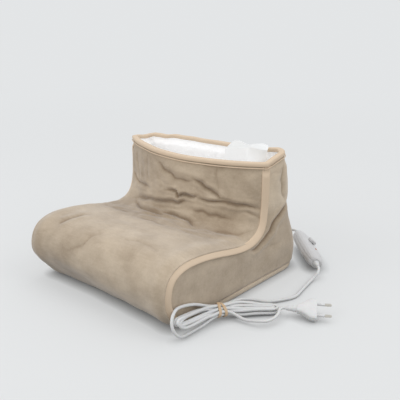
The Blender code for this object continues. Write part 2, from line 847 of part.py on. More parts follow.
def make_gland():
    inner = -PANEL - CLEARANCE - GLAND_FLANGE_THICK
    profile = [(inner, GLAND_NECK), (CLEARANCE, GLAND_NECK), (CLEARANCE, GLAND_FLANGE)]
    profile += [(CLEARANCE + GLAND_FLANGE_THICK, GLAND_FLANGE)]
    profile += relief_profile(CLEARANCE + GLAND_FLANGE_THICK, GLAND_LENGTH, GLAND_SLEEVE, GLAND_TIP)
    turned_solid("cord_gland", profile, 12, gland_place(), white_vinyl())


def gland_mouth():
    return gland_place() @ Vector((CLEARANCE * 2 + GLAND_FLANGE_THICK + GLAND_LENGTH, 0, 0))


def tube(name, points, diameter, look, resolution=2):
    """A round cord along points, with flat ends."""
    curve = bpy.data.curves.new(name, "CURVE")
    curve.dimensions = "3D"
    curve.bevel_depth = diameter / 2
    curve.bevel_resolution = resolution
    curve.use_fill_caps = True
    spline = curve.splines.new("POLY")
    spline.points.add(len(points) - 1)
    for slot, point in zip(spline.points, points):
        slot.co = (*point, 1)
    curve.materials.append(look)
    thing = bpy.data.objects.new(name, curve)
    bpy.context.scene.collection.objects.link(thing)
    return thing


def smooth_route(start, start_way, route, end, end_way, step):
    """Points a step apart on a smooth curve that leaves and arrives square to what it meets."""
    lead = CORD
    knots = [start, start + start_way * lead, *[Vector(p) for p in route], end - end_way * lead, end]
    fine = []
    for i in range(len(knots) - 1):
        for k in range(12):
            fine.append(Vector(smooth_at(knots, i + k / 12)) if 0 < i < len(knots) - 2
                        else knots[i].lerp(knots[i + 1], k / 12))
    fine.append(knots[-1])
    points = [fine[0]]
    run = 0.0
    for a, b in zip(fine, fine[1:]):
        run += (b - a).length
        if run >= step:
            points.append(b)
            run = 0.0
    inner = [p for p in points[1:] if min((p - knot).length for knot in knots[:2] + knots[-2:]) > step / 2]
    return [*knots[:2], *inner, *knots[-2:]]


def coil_points():
    """The spare lead: it winds in on the floor, climbs and winds out on top of itself."""
    half = COIL_TURNS / 2
    count = LOOP_POINTS * COIL_TURNS
    points = []
    for k in range(count + 1):
        turns = COIL_TURNS * k / count
        inward = half - abs(turns - half)
        layer = ease((turns - half) * 2 + 0.5)
        radius = COIL_RADIUS - STRAND_PITCH * inward
        turn = COIL_START + math.tau * turns
        z = HANK_FLOOR + CORD / 2 + STRAND_PITCH * layer
        points.append(COIL_CENTRE + Vector((radius * math.cos(turn), radius * math.sin(turn), z)))
    return straight_ends(points)


def straight_ends(points):
    """The same points with a straight diameter added at both ends."""
    first = (points[0] - points[1]).normalized() * CORD
    last = (points[-1] - points[-2]).normalized() * CORD
    return [points[0] + first, *points, points[-1] + last]


def hank_frame(share):
    """The hank's middle line and its two cross directions, from share -1 at the toe to 1 at the plug."""
    places = (HANK_LEFT, HANK_WAIST, HANK_RIGHT)
    middle = Vector(smooth_at(places, share + 1))
    step = 0.02
    ahead = Vector(smooth_at(places, share + 1 + step)) - Vector(smooth_at(places, share + 1 - step))
    ahead.normalize()
    level = Vector((0, 0, 1)).cross(ahead).normalized()
    up = ahead.cross(level)
    if share < 0:
        twist = blend(HANK_WAIST_TWIST, HANK_LEFT_TWIST, ease(-share * 1.4))
    else:
        twist = blend(HANK_WAIST_TWIST, 0, ease(share * 1.4))
    across = level * math.cos(twist) + up * math.sin(twist)
    return middle, across, ahead.cross(across)


def hank_outline(turns):
    """The outer loop, flat: a point along and across the hank, from its tip at the plug end."""
    knots = []
    for end, reach, bulge in (
        (1, (HANK_RIGHT - HANK_WAIST).length, HANK_RIGHT_BULGE),
        (-1, (HANK_WAIST - HANK_LEFT).length, HANK_LEFT_BULGE),
    ):
        waist = STRAND_PITCH * HANK_LOOPS / 2
        side = [
            (reach, 0), (reach - bulge * (1 - HANK_ROUND), bulge * HANK_ROUND), (reach - bulge, bulge),
            (reach * HANK_NARROW, blend(waist, bulge, HANK_SPREAD)), (reach * HANK_TIED, waist), (0, waist),
        ]
        half = [(end * along, across) for along, across in side]
        knots.append(half)
    right, left = knots
    upper = right[:-1] + list(reversed(left))
    lower = [(along, -across) for along, across in reversed(upper)]
    loop = upper[:-1] + lower[:-1]
    count = len(loop)
    ring = loop[-1:] + loop + loop[:3]
    return smooth_at(ring, 1 + (turns % 1) * count)


def hank_point(turns):
    """A point of the hank: the loops wind in, climb a layer at the toe end and wind out again."""
    half = HANK_LOOPS / 2
    inward = half - abs(turns - half)
    layer = ease((turns - half) * 2 + 0.5) - 0.5
    step = 0.005
    along, across = hank_outline(turns)
    along_0, across_0 = hank_outline(turns - step)
    along_1, across_1 = hank_outline(turns + step)
    long = math.hypot(along_1 - along_0, across_1 - across_0)
    along -= (across_1 - across_0) / long * STRAND_PITCH * inward
    across += (along_1 - along_0) / long * STRAND_PITCH * inward
    reach = HANK_RIGHT - HANK_WAIST if along > 0 else HANK_WAIST - HANK_LEFT
    middle, level, up = hank_frame(along / reach.length)
    return middle + level * across + up * STRAND_PITCH * layer


def hank_points():
    last = LOOP_POINTS * HANK_LOOPS - HANK_END_POINT
    return straight_ends([hank_point(k / LOOP_POINTS) for k in range(HANK_START_POINT, last + 1)])


def least_gap(points, apart):
    """The least gap between stretches of the cord that are more than some points apart."""
    fine = []
    for i in range(len(points) - 1):
        for k in range(3):
            fine.append(points[i].lerp(points[i + 1], k / 3))
    least = math.inf
    for i in range(len(fine)):
        for j in range(i + apart * 3, len(fine)):
            least = min(least, (fine[i] - fine[j]).length)
    return least - CORD


def make_cords():
    hank = hank_points()
    coil = coil_points()
    print("least gap in the hank, mm:", round(least_gap(hank, 6) / MM, 2))
    print("least gap in the coil, mm:", round(least_gap(coil, 6) / MM, 2))
    print("lowest hank point, mm:", round((min(p.z for p in hank) - CORD / 2) / MM, 2))
    tube("mains_cord_hank", hank, CORD, white_vinyl(), resolution=1)
    tube("lead_cord_coil", coil, CORD, white_vinyl(), resolution=1)

    step = CORD * 2.5
    back = Vector((0, 1, 0))
    coil_in = (coil[1] - coil[0]).normalized()
    coil_out = (coil[-1] - coil[-2]).normalized()
    hank_in = (hank[1] - hank[0]).normalized()
    hank_out = (hank[-1] - hank[-2]).normalized()
    frame = control_frame()
    axis = (CONTROL_FAR - CONTROL_NEAR).normalized()
    reach = CONTROL_LENGTH / 2 + RELIEF_LENGTH + CLEARANCE * 2
    far_mouth = frame @ Vector((reach, 0, 0))
    near_mouth = frame @ Vector((-reach, 0, 0))

    def free(name, start, start_way, route, end, end_way):
        points = smooth_route(start, start_way, route, end, end_way, step)
        tube(name, points, CORD, white_vinyl())

    free(
        "lead_cord_from_boot", gland_mouth(), back, LEAD_OUT_ROUTE,
        coil[0] - coil_in * CLEARANCE, coil_in,
    )
    free(
        "lead_cord_to_controller", coil[-1] + coil_out * CLEARANCE, coil_out, LEAD_IN_ROUTE,
        far_mouth, -axis,
    )
    free(
        "mains_cord_run", near_mouth, -axis, MAINS_ROUTE, hank[0] - hank_in * CLEARANCE, hank_in,
    )
    plug = plug_frame()
    plug_mouth = plug @ Vector((-PLUG_RELIEF_LENGTH - CLEARANCE, 0, 0))
    heading = (plug.to_3x3() @ Vector((1, 0, 0))).normalized()
    free(
        "mains_cord_tail", hank[-1] + hank_out * CLEARANCE, hank_out, (), plug_mouth, heading,
    )


def make_hank_band():
    """A rubber band round the hank's waist."""
    middle, across, up = hank_frame(0)
    ahead = across.cross(up)
    half = HANK_LOOPS / 2
    wide = STRAND_PITCH * half + CORD / 2 + CLEARANCE * 3
    high = STRAND_PITCH / 2 + CORD / 2 + CLEARANCE * 3
    sections = []
    for k in range(BAND_STEPS):
        turn = math.tau * k / BAND_STEPS
        c, s = math.cos(turn), math.sin(turn)
        corner = wide - high
        centre = math.copysign(corner, c) if abs(c) > 1e-6 else 0
        ring = []
        for radius, along in (
            (high, -BAND_WIDTH / 2), (high + BAND_THICK, -BAND_WIDTH / 2),
            (high + BAND_THICK, BAND_WIDTH / 2), (high, BAND_WIDTH / 2),
        ):
            ring.append(middle + across * (centre + radius * c) + up * radius * s + ahead * along)
        sections.append(ring)
    swept_solid("hank_band", sections, rubber_band(), closed=True)


def make_side_bindings():
    """Bias tape over each side seam, lying across the corner between the two panels."""
    steps = FRONT_STEPS + 2
    start = 0.0
    while seam_inset(start, 0)[1] < BINDING_LIFT:
        start += 0.05
    end = front_place_below_rim(RIM_COVER + PIPING_DROP + PIPING + CLEARANCE * 2)
    for side, word in ((-1, "left"), (1, "right")):
        sections = []
        for i in range(steps + 1):
            place = blend(start, end, i / steps)
            y, z = seam_inset(place, 0)
            y_in, z_in = seam_inset(place, 1)
            out = Vector((0, y - y_in, z - z_in)).normalized()
            diagonal = (Vector((side, 0, 0)) + out).normalized()
            along = (Vector((side, 0, 0)) - out).normalized()
            centre = Vector((side * HALF, y, z)) - diagonal * BINDING_SINK
            ring = []
            for k in range(BINDING_SIDES):
                turn = math.tau * (k + 0.5) / BINDING_SIDES
                ring.append(
                    centre + along * BINDING_WIDTH / 2 * math.cos(turn)
                    + diagonal * BINDING_THICK / 2 * math.sin(turn)
                )
            sections.append(ring)
        swept_solid("side_binding_" + word, sections, cream_tape())


def rim_stations():
    """Functions of (drop, depth) at places round the collar, from the front middle to the right and on."""
    def front(x):
        return lambda drop, depth: front_point(front_place_below_rim(drop), x, depth)

    def side(way, reach):
        return lambda drop, depth: side_point(way, reach, rim_z(reach) - drop, depth)

    def back(share):
        return lambda drop, depth: back_point(share, BACK_HEIGHT - drop, depth)

    def corner(way):
        def at(drop, depth):
            place = front_place_below_rim(drop)
            point = front_surface(place, way * HALF)
            slope = front_point(place, way * HALF, 1) - point
            inward = (slope.normalized() + Vector((-way, 0, 0))).normalized()
            mitre = 1 / max(inward.dot(Vector((-way, 0, 0))), 0.5)
            return point + Vector((inward.x, inward.y, 0)) * depth * mitre
        return at

    half_front = [front((HALF - RIM_CORNER) * k / 7) for k in range(8)]
    start = TOE_Y + SEAM_SHARES[-1][0] * LENGTH + RIM_CORNER + CLEARANCE * 3
    end = seam_reach(BACK_HEIGHT)
    bend = corner_start(BACK_HEIGHT)
    reaches = [start, blend(start, bend, 0.5), bend] + [blend(bend, end, k / 7) for k in range(1, 7)]
    right = [side(1, r) for r in reaches]
    left = [side(-1, r) for r in reversed(reaches)]
    rear = [back(1 - 2 * k / 8) for k in range(9)]
    mirrored = [front(-(HALF - RIM_CORNER) * k / 7) for k in range(7, 0, -1)]
    return half_front + [corner(1)] + right + rear + left + [corner(-1)] + mirrored


def make_rim_binding():
    """Bias tape folded over the collar's edge: a channel that holds the panel and the lining."""
    wall = LINING_DEPTH + PLUSH_AT_RIM + CLEARANCE
    outside, inside = -CLEARANCE - RIM_TAPE, wall + CLEARANCE + RIM_TAPE
    bottom = RIM_COVER
    section = (
        (bottom, outside), (RIM_CROWN, outside), (RIM_CROWN * 0.3, outside + RIM_CROWN * 0.5),
        (0, outside + RIM_CROWN * 1.4), (0, inside - RIM_CROWN * 1.4),
        (RIM_CROWN * 0.3, inside - RIM_CROWN * 0.5), (RIM_CROWN, inside), (bottom, inside),
        (bottom, wall + CLEARANCE), (RIM_TAPE, wall + CLEARANCE),
        (RIM_TAPE, -CLEARANCE), (bottom, -CLEARANCE),
    )
    sections = [[at(drop, depth) for drop, depth in section] for at in rim_stations()]
    swept_solid("rim_binding", sections, cream_tape(), closed=True)


def make_rim_piping():
    """A thin cord of tape that runs below the rim binding."""
    drop = RIM_COVER + PIPING_DROP
    depth = -PIPING / 2 - CLEARANCE
    sections = []
    for at in rim_stations():
        ring = []
        for k in range(6):
            turn = math.tau * k / 6
            ring.append(at(drop + PIPING / 2 * math.sin(turn), depth + PIPING / 2 * math.cos(turn)))
        sections.append(ring)
    swept_solid("rim_piping", sections, cream_tape(), closed=True)


def make_care_label():
    """A blank leaf, sewn in behind the rim, that stands up, arches forward and hangs into the collar."""
    wall = LINING_DEPTH + PLUSH_AT_RIM + 2 * CLEARANCE + RIM_TAPE
    share = LABEL_X / (HALF - corner_radius(BACK_HEIGHT))
    root = back_point(share, BACK_HEIGHT, wall + LABEL_THICK)
    steps = 6
    line = [(0, -LABEL_ROOT), (0, 0)]
    for k in range(1, steps + 1):
        turn = math.pi * k / steps
        line.append((
            -LABEL_REACH / 2 * (1 - math.cos(turn)),
            LABEL_RISE * math.sin(turn),
        ))
    line.append((-LABEL_REACH, -LABEL_TAIL))
    rings = []
    for i, (y, z) in enumerate(line):
        before = line[max(i - 1, 0)]
        after = line[min(i + 1, len(line) - 1)]
        way = Vector((0, after[0] - before[0], after[1] - before[1])).normalized()
        face = Vector((0, way.z, -way.y)) * LABEL_THICK / 2
        middle = Vector((root.x, root.y + y, root.z + z))
        side = Vector((LABEL_WIDTH / 2, 0, 0))
        rings.append([middle - side - face, middle + side - face, middle + side + face, middle - side + face])
    swept_solid("care_label", rings, material("label tape", (0.86, 0.86, 0.85), 0.7))


def control_frame():
    """The controller's own frame: +X towards the boot's lead, +Z out of its face."""
    ahead = (CONTROL_FAR - CONTROL_NEAR).normalized()
    level = Vector((0, 0, 1)).cross(ahead).normalized()
    up = ahead.cross(level)
    across = level * math.cos(CONTROL_ROLL) + up * math.sin(CONTROL_ROLL)
    face = ahead.cross(across)
    turn = Matrix((ahead, across, face)).transposed()
    return Matrix.Translation((CONTROL_NEAR + CONTROL_FAR) / 2) @ turn.to_4x4()


def control_half(share):
    """Half the controller's width and thickness at a share of its length, from -1 to 1."""
    round_off = math.sqrt(1 - abs(share) ** CONTROL_ROUND_POWER)
    grown = blend(CONTROL_END_SHARE, 1, round_off)
    return CONTROL_WIDTH / 2 * grown, CONTROL_THICK / 2 * blend(grown, 1, CONTROL_THICK_KEPT)


def control_body(name, shrink, look, length=CONTROL_LENGTH):
    rings = []
    for i in range(CONTROL_STATIONS + 1):
        share = -math.cos(math.pi * i / CONTROL_STATIONS)
        wide, thick = control_half(share)
        wide, thick = wide - shrink, thick - shrink
        ring = []
        for k in range(CONTROL_SIDES):
            turn = math.tau * k / CONTROL_SIDES
            c, s = math.cos(turn), math.sin(turn)
            ring.append(Vector((
                share * length / 2,
                wide * math.copysign(abs(c) ** CONTROL_POWER_SHARE, c),
                thick * math.copysign(abs(s) ** CONTROL_POWER_SHARE, s),
            )))
        rings.append(ring)
    return swept_solid(name, rings, look)


def make_controller():
    """The controller's pieces in its own frame."""
    here = Matrix()
    big = CONTROL_LENGTH
    cavity_half = CONTROL_LENGTH / 2 - CONTROL_BLOCK
    below = -CONTROL_THICK / 2 + CONTROL_WALL
    board_top = below + BOARD_DROP + BOARD[2]

    upper = control_body("controller_upper_shell", 0, white_plastic())
    lower = control_body("controller_lower_shell", 0, white_plastic())
    under = box_solid("below_parting", (-big, -big, -big), (big, big, CLEARANCE / 2), here, None)
    over = box_solid("above_parting", (-big, -big, -CLEARANCE / 2), (big, big, big), here, None)
    cut(upper, under)
    cut(lower, over)
    space = box_solid(
        "cavity", (-cavity_half, -BOARD[1] / 2 - CLEARANCE * 2, below),
        (cavity_half, BOARD[1] / 2 + CLEARANCE * 2, CONTROL_THICK / 2 - CONTROL_WALL * ROOF_SHARE), here, None,
    )
    cut(upper, space)
    cut(lower, space)

    slot_half = SLIDE_TRAVEL / 2 + KNOB_STEM[0] / 2 + CLEARANCE
    slot = box_solid(
        "knob_slot", (KNOB_CENTRE - slot_half, -SLOT_WIDTH / 2, 0),
        (KNOB_CENTRE + slot_half, SLOT_WIDTH / 2, CONTROL_THICK), here, None,
    )
    cut(upper, slot)
    lamp_axis = Matrix.Translation((KNOB_CENTRE - LAMP_OFFSET, 0, 0)) @ Matrix.Rotation(
        -math.pi / 2, 4, "Y")
    lamp_hole = turned_solid(
        "lamp_hole", ((0, LAMP_RADIUS + CLEARANCE), (CONTROL_THICK, LAMP_RADIUS + CLEARANCE)),
        10, lamp_axis, None,
    )
    cut(upper, lamp_hole)

    for number, side in ((1, -1), (2, 1)):
        x = side * (CONTROL_LENGTH / 2 - SCREW_INSET)
        depth = control_half(2 * x / CONTROL_LENGTH)[1]
        screw_axis = Matrix.Translation((x, 0, -depth)) @ Matrix.Rotation(-math.pi / 2, 4, "Y")
        head = SCREW_HEAD + CLEARANCE * 2
        hole = turned_solid(
            "screw_hole_%d" % number,
            (
                (-OVERRUN, SCREW_HEAD_RADIUS + CLEARANCE), (head + CLEARANCE, SCREW_HEAD_RADIUS + CLEARANCE),
                (head + CLEARANCE, SCREW_RADIUS + CLEARANCE),
                (SCREW_LENGTH + CLEARANCE * 2, SCREW_RADIUS + CLEARANCE),
            ),
            12, screw_axis, None,
        )
        cut(lower, hole)
        cut(upper, hole)
        turned_solid(
            "controller_screw_%d" % number,
            (
                (CLEARANCE, SCREW_HEAD_RADIUS), (head, SCREW_HEAD_RADIUS), (head, SCREW_RADIUS),
                (SCREW_LENGTH, SCREW_RADIUS),
            ),
            12, screw_axis, metal(),
        )
        bore = turned_solid(
            "relief_bore_%d" % number,
            ((-RELIEF_PLUG_IN - CLEARANCE, RELIEF_NECK + CLEARANCE), (OVERRUN, RELIEF_NECK + CLEARANCE)),
            12, relief_place(side), None,
        )
        cut(lower, bore)
        cut(upper, bore)
        profile = [(-RELIEF_PLUG_IN, RELIEF_NECK), (CLEARANCE, RELIEF_NECK)]
        profile += relief_profile(CLEARANCE, RELIEF_LENGTH, RELIEF_ROOT, RELIEF_TIP)
        word = "mains" if side < 0 else "lead"
        turned_solid("controller_relief_" + word, profile, 12, relief_place(side), white_vinyl())

    posts = box_solid(
        "board_posts", (-BOARD_POST, -BOARD[1] / 2 + CLEARANCE * 2, below - CLEARANCE),
        (BOARD_POST, BOARD[1] / 2 - CLEARANCE * 2, below + BOARD_DROP - CLEARANCE), here, None,
    )
    cut(lower, posts, "UNION")
    box_solid(
        "controller_board", (-BOARD[0] / 2, -BOARD[1] / 2, below + BOARD_DROP),
        (BOARD[0] / 2, BOARD[1] / 2, board_top), here, board_green(),
    )
    foot_top = CONTROL_THICK / 2 - CONTROL_WALL * ROOF_SHARE - CLEARANCE
    foot_low = foot_top - KNOB_FOOT[2]
    box_solid(
        "heat_switch", (KNOB_CENTRE - SWITCH[0] / 2, -SWITCH[1] / 2, board_top + CLEARANCE),
        (KNOB_CENTRE + SWITCH[0] / 2, SWITCH[1] / 2, foot_low - CLEARANCE), here,
        material("switch black", (0.03, 0.03, 0.03), 0.5),
    )
    face = CONTROL_THICK / 2 + LAMP_PROUD
    turned_solid(
        "indicator_lamp",
        (
            (board_top + CLEARANCE, LAMP_RADIUS), (face - LAMP_RADIUS / 2, LAMP_RADIUS),
            (face, LAMP_RADIUS * 0.6),
        ),
        10, lamp_axis, material("lamp lens", (0.75, 0.25, 0.10), 0.3),
    )
    slide = Matrix.Translation((KNOB_CENTRE, 0, CONTROL_THICK / 2 + CLEARANCE))
    hang_from("knob_slide", slide, make_knob)


def make_knob():
    """The heat knob: a ridged cap on a stem that runs in the slot, with a foot that holds it in."""
    cap_high = KNOB[2]
    foot_top = -CONTROL_WALL * ROOF_SHARE - CLEARANCE * 2
    foot_low = foot_top - KNOB_FOOT[2]
    long, wide = KNOB[0] / 2, KNOB[1] / 2
    stem = (KNOB_STEM[0] / 2, KNOB_STEM[1] / 2)
    foot = (KNOB_FOOT[0] / 2, KNOB_FOOT[1] / 2)
    rings = []
    for half_x, half_y, z in (
        (*foot, foot_low), (*foot, foot_top), (*stem, foot_top), (*stem, 0), (long, wide, 0),
        (long, wide, cap_high - KNOB_RIDGE), (long - KNOB_RIDGE, wide - KNOB_RIDGE, cap_high),
    ):
        rings.append([
            Vector((a * half_x, b * half_y, z))
            for a, b in ((-1, -1), (1, -1), (1, 1), (-1, 1))
        ])
    swept_solid("heat_knob", rings, white_plastic())


def relief_place(side):
    turn = Matrix() if side > 0 else Matrix.Rotation(math.pi, 4, "Z")
    return Matrix.Translation((side * CONTROL_LENGTH / 2, 0, 0)) @ turn


def plug_frame():
    """The plug's own frame: +X out of its face along the pins, from its neck."""
    heading = Matrix.Rotation(PLUG_HEADING, 4, "Z")
    return Matrix.Translation(PLUG_ROOT) @ heading @ Matrix.Rotation(PLUG_ROLL, 4, "X")


def make_plug():
    """The plug's pieces in its own frame."""
    rings = []
    for along, wide_share, thick_share in PLUG_SHARES:
        wide, thick = PLUG_WIDTH / 2 * wide_share, PLUG_THICK / 2 * thick_share
        ring = []
        for k in range(PLUG_SIDES):
            turn = math.tau * k / PLUG_SIDES
            c, s = math.cos(turn), math.sin(turn)
            ring.append(Vector((
                along * PLUG_LENGTH, wide * math.copysign(abs(c) ** PLUG_POWER_ACROSS, c),
                thick * math.copysign(abs(s) ** PLUG_POWER_UP, s),
            )))
        rings.append(ring)
    body = swept_solid("plug_body", rings, white_vinyl())
    for number, side in ((1, -1), (2, 1)):
        place = Matrix.Translation((PLUG_LENGTH, side * PIN_SPACING / 2, 0))
        socket = turned_solid(
            "pin_socket_%d" % number,
            ((-PIN_ROOT - CLEARANCE, PIN_CORE + CLEARANCE), (OVERRUN, PIN_CORE + CLEARANCE)),
            12, place, None,
        )
        cut(body, socket)
        shoulder = CLEARANCE + PIN_SLEEVE + CLEARANCE
        turned_ring(
            "pin_sleeve_%d" % number, PIN_SLEEVE_RADIUS, PIN_CORE + CLEARANCE, CLEARANCE,
            CLEARANCE + PIN_SLEEVE, 12, place, white_vinyl(),
        )
        turned_solid(
            "plug_pin_%d" % number,
            (
                (-PIN_ROOT, PIN_CORE), (shoulder, PIN_CORE), (shoulder, PIN_RADIUS),
                (shoulder + PIN_TIP - PIN_CORE, PIN_RADIUS), (shoulder + PIN_TIP, PIN_CORE),
            ),
            12, place, metal(),
        )
    profile = relief_profile(0, PLUG_RELIEF_LENGTH - CLEARANCE, GLAND_TIP, PLUG_RELIEF_ROOT)
    back = Matrix.Translation((-PLUG_RELIEF_LENGTH, 0, 0))
    turned_solid("plug_relief", profile, 12, back, white_vinyl())


def main():
    clear_scene()
    make_top_panel()
    make_side_panels()
    make_back_panel()
    make_side_bindings()
    make_rim_binding()
    make_rim_piping()
    make_lining_top()
    make_side_linings()
    make_lining_back()
    make_care_label()
    make_sole_outer()
    make_sole_layers()
    make_heating_parts()
    make_gland()
    hang_from("controller_frame", control_frame(), make_controller)
    hang_from("plug_frame", plug_frame(), make_plug)
    make_cords()
    make_hank_band()


main()
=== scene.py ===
"""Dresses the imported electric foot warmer: suede covers, plush lining, tapes, cords, controller and plug.

Laid out as an add-on and run as a script. Metres, +Z up. The toe points to -Y and the controller lies
on the +X side. The boot's covers follow the same outlines as its solids, and their creases are given in
millimetres on the flat cover.
"""

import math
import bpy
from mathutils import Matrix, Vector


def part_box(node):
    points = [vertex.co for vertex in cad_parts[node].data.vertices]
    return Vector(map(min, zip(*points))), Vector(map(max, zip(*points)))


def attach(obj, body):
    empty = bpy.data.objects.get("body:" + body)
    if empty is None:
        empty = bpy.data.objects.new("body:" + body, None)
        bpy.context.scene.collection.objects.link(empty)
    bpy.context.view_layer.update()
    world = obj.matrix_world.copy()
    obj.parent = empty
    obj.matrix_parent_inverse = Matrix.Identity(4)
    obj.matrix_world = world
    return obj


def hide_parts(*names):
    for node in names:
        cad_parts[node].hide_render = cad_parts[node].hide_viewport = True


bl_info = {
    "name": "Electric Foot Warmer",
    "version": (1, 0, 0),
    "blender": (4, 5, 0),
    "location": "3D View > Sidebar > Foot Warmer",
    "description": "Builds the soft covers, cords, controller and studio of an electric foot warmer",
    "category": "Object",
}

from functools import lru_cache

import bmesh
import bpy
from bpy.props import FloatProperty, FloatVectorProperty, IntProperty, PointerProperty
from mathutils import Matrix, Vector, noise

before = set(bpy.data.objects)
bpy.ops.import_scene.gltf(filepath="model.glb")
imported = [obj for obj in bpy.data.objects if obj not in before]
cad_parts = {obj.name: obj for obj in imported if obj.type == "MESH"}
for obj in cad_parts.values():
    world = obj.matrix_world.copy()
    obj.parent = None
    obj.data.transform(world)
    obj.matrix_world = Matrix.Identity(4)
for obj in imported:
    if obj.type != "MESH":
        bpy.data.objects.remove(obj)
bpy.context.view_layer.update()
BOOT = "foot_warmer"

MM = 0.001
CLEARANCE = 0.3 * MM

# Boot, as in its solids
WIDTH = 272 * MM
LENGTH = 305 * MM
FRONT_HEIGHT = 184 * MM
BACK_HEIGHT = 192 * MM
HALF = WIDTH / 2
TOE_Y = -LENGTH / 2
PANEL = 4 * MM
PLUSH = 8 * MM
PLUSH_AT_RIM = 1.8 * MM
PLUSH_SWELL = 11 * MM
HEEL_CORNER_LOW = 28 * MM
HEEL_CORNER_HIGH = 15 * MM
REAR_HOLLOW = 10 * MM
REAR_HOLLOW_LOW_SHARE = 0.52
SEAM_SHARES = (
    (0.200, 0.000), (0.122, 0.022), (0.048, 0.100), (0.007, 0.230), (0.010, 0.370), (0.046, 0.467),
    (0.118, 0.516), (0.216, 0.519), (0.328, 0.495), (0.439, 0.457), (0.540, 0.428), (0.610, 0.429),
    (0.660, 0.467), (0.690, 0.538), (0.704, 0.630), (0.708, 0.761), (0.708, 0.880), (0.711, 1.000),
)
MIDDLE_SHARES = (
    (0.200, 0.000), (0.122, 0.022), (0.048, 0.100), (0.004, 0.235), (0.004, 0.375), (0.043, 0.486),
    (0.115, 0.543), (0.207, 0.552), (0.302, 0.535), (0.387, 0.514), (0.452, 0.500), (0.492, 0.511),
    (0.518, 0.543), (0.531, 0.592), (0.538, 0.663), (0.541, 0.772), (0.544, 0.880), (0.549, 1.000),
)
BACK_SHARES = (
    (0.980, 0.000), (0.993, 0.040), (1.000, 0.110), (0.994, 0.190), (0.966, 0.310), (0.925, 0.455),
    (0.893, 0.600), (0.876, 0.730), (0.858, 0.860), (0.838, 1.000),
)
SEAM_END = len(SEAM_SHARES) - 1
BACK_END = len(BACK_SHARES) - 1

# Tapes
BINDING_THICK = 3.4 * MM
BINDING_SINK = 1 * MM
BINDING_LIFT = 6.5 * MM
SETBACK = math.sqrt(2) * (BINDING_SINK + BINDING_THICK / 2 + CLEARANCE)
TAPE_LAP = 1.9 * MM
BASE_PUFF = 1.4 * MM
DEEPEST = 3.1 * MM
# How far the tape stands off the seam's line, at places along the seam from the toe up to the collar.
TAPE_SHIFT = ((0, 5.2 * MM), (9, 5.2 * MM), (12, 1.5 * MM), (14, -1.4 * MM))
RIM_TAPE = 1 * MM
RIM_COVER = 6 * MM
RIM_CORNER = 7 * MM
PIPING = 1.6 * MM
PIPING_DROP = 2.4 * MM
LINING_DEPTH = PANEL + 2 * CLEARANCE
WALL_TOP = RIM_TAPE + CLEARANCE
UNDER_TAPE = RIM_COVER + PIPING_DROP + PIPING * 2

# Sole
TRAY_RIM = 9 * MM
TRAY_FLOOR = 2.5 * MM
TRAY_ROLL = 5 * MM
TRAY_FRONT = TOE_Y + SEAM_SHARES[0][0] * LENGTH + PANEL / 2 + CLEARANCE
WALL_FOOT = TRAY_RIM + CLEARANCE
PAD_Z = 16 * MM
LINING_FOOT = PAD_Z + PLUSH + CLEARANCE
FELT_Z = 11.1 * MM

# Cord
CORD = 4.4 * MM
GLAND_X = 34 * MM
GLAND_FLANGE_THICK = 1.6 * MM
GLAND_LENGTH = 12 * MM
LOOP_POINTS = 72
STRAND_PITCH = CORD + 1.2 * MM
COIL_CENTRE = Vector((8 * MM, 205 * MM, 0))
COIL_RADIUS = 26 * MM
COIL_TURNS = 3
COIL_START = math.radians(-20)
HANK_LEFT = Vector((151 * MM, -153 * MM, 24.6 * MM))
HANK_WAIST = Vector((157 * MM, -57 * MM, 15.6 * MM))
HANK_RIGHT = Vector((209 * MM, 6.2 * MM, 5.6 * MM))
HANK_LOOPS = 5
HANK_START_TURN = 2 / 24
HANK_END_TURN = 3 / 24
HANK_LEFT_BULGE = 22 * MM
HANK_RIGHT_BULGE = 30 * MM
HANK_LEFT_TWIST = math.radians(72)
HANK_WAIST_TWIST = math.radians(38)
HANK_FLOOR = 0.3 * MM
HANK_ROUND = 0.71
HANK_NARROW = 0.34
HANK_SPREAD = 0.35
HANK_TIED = 0.1
TIED_PITCH = CORD + 0.25 * MM
TIED_DROP = Vector((1 * MM, 6 * MM, 2.2 * MM))
# Where each loop's two sides lie in the tied bundle, across and up, in strands.
TIED_UPPER = ((1.5, 0), (1, -0.87), (0, -0.87), (0.5, 0), (1, 0.87))
TIED_LOWER = ((-1.5, 0), (-1, -0.87), (0, 0.87), (-0.5, 0), (-1, 0.87))
LABEL_TALL = 24 * MM
# The top edge of the label's ribbon, from its sewn end round the bend to its free end, in millimetres.
LABEL_LINE = (
    (46, 85, 187), (52, 85.4, 193), (60, 85.4, 198.5), (68, 85.2, 200), (76, 85, 198), (86, 84.6, 196.5),
    (98, 84.4, 199.5), (110, 83.8, 201.5), (120, 81, 200), (124, 76, 197), (120, 71.6, 197.4),
    (110, 70.4, 199), (100, 71, 198.4), (94, 73.4, 195.5), (88, 77, 194), (70, 77.6, 191), (48, 77.4, 186),
)
BAND_WIDE = 4.4 * MM
BAND_SIDES = 10
BAND_THICK = 1.0 * MM
BAND_SPREAD = 5.2 * MM
LEAD_OUT_ROUTE = ((0.0335, 0.178, 0.0085),)
LEAD_IN_ROUTE = ((0.048, 0.224, 0.006), (0.069, 0.2365, 0.014))
MAINS_ROUTE = (
    (0.1905, 0.1265, 0.0095), (0.1885, 0.115, 0.0035), (0.194, 0.083, 0.0024), (0.199, 0.054, 0.0024),
    (0.191, 0.032, 0.0028),
)
TAIL_ROUTE = (
    (0.2165, -0.0385, 0.0085), (0.219, -0.027, 0.0085), (0.2175, -0.0145, 0.0095), (0.2142, -0.0062, 0.0118),
)

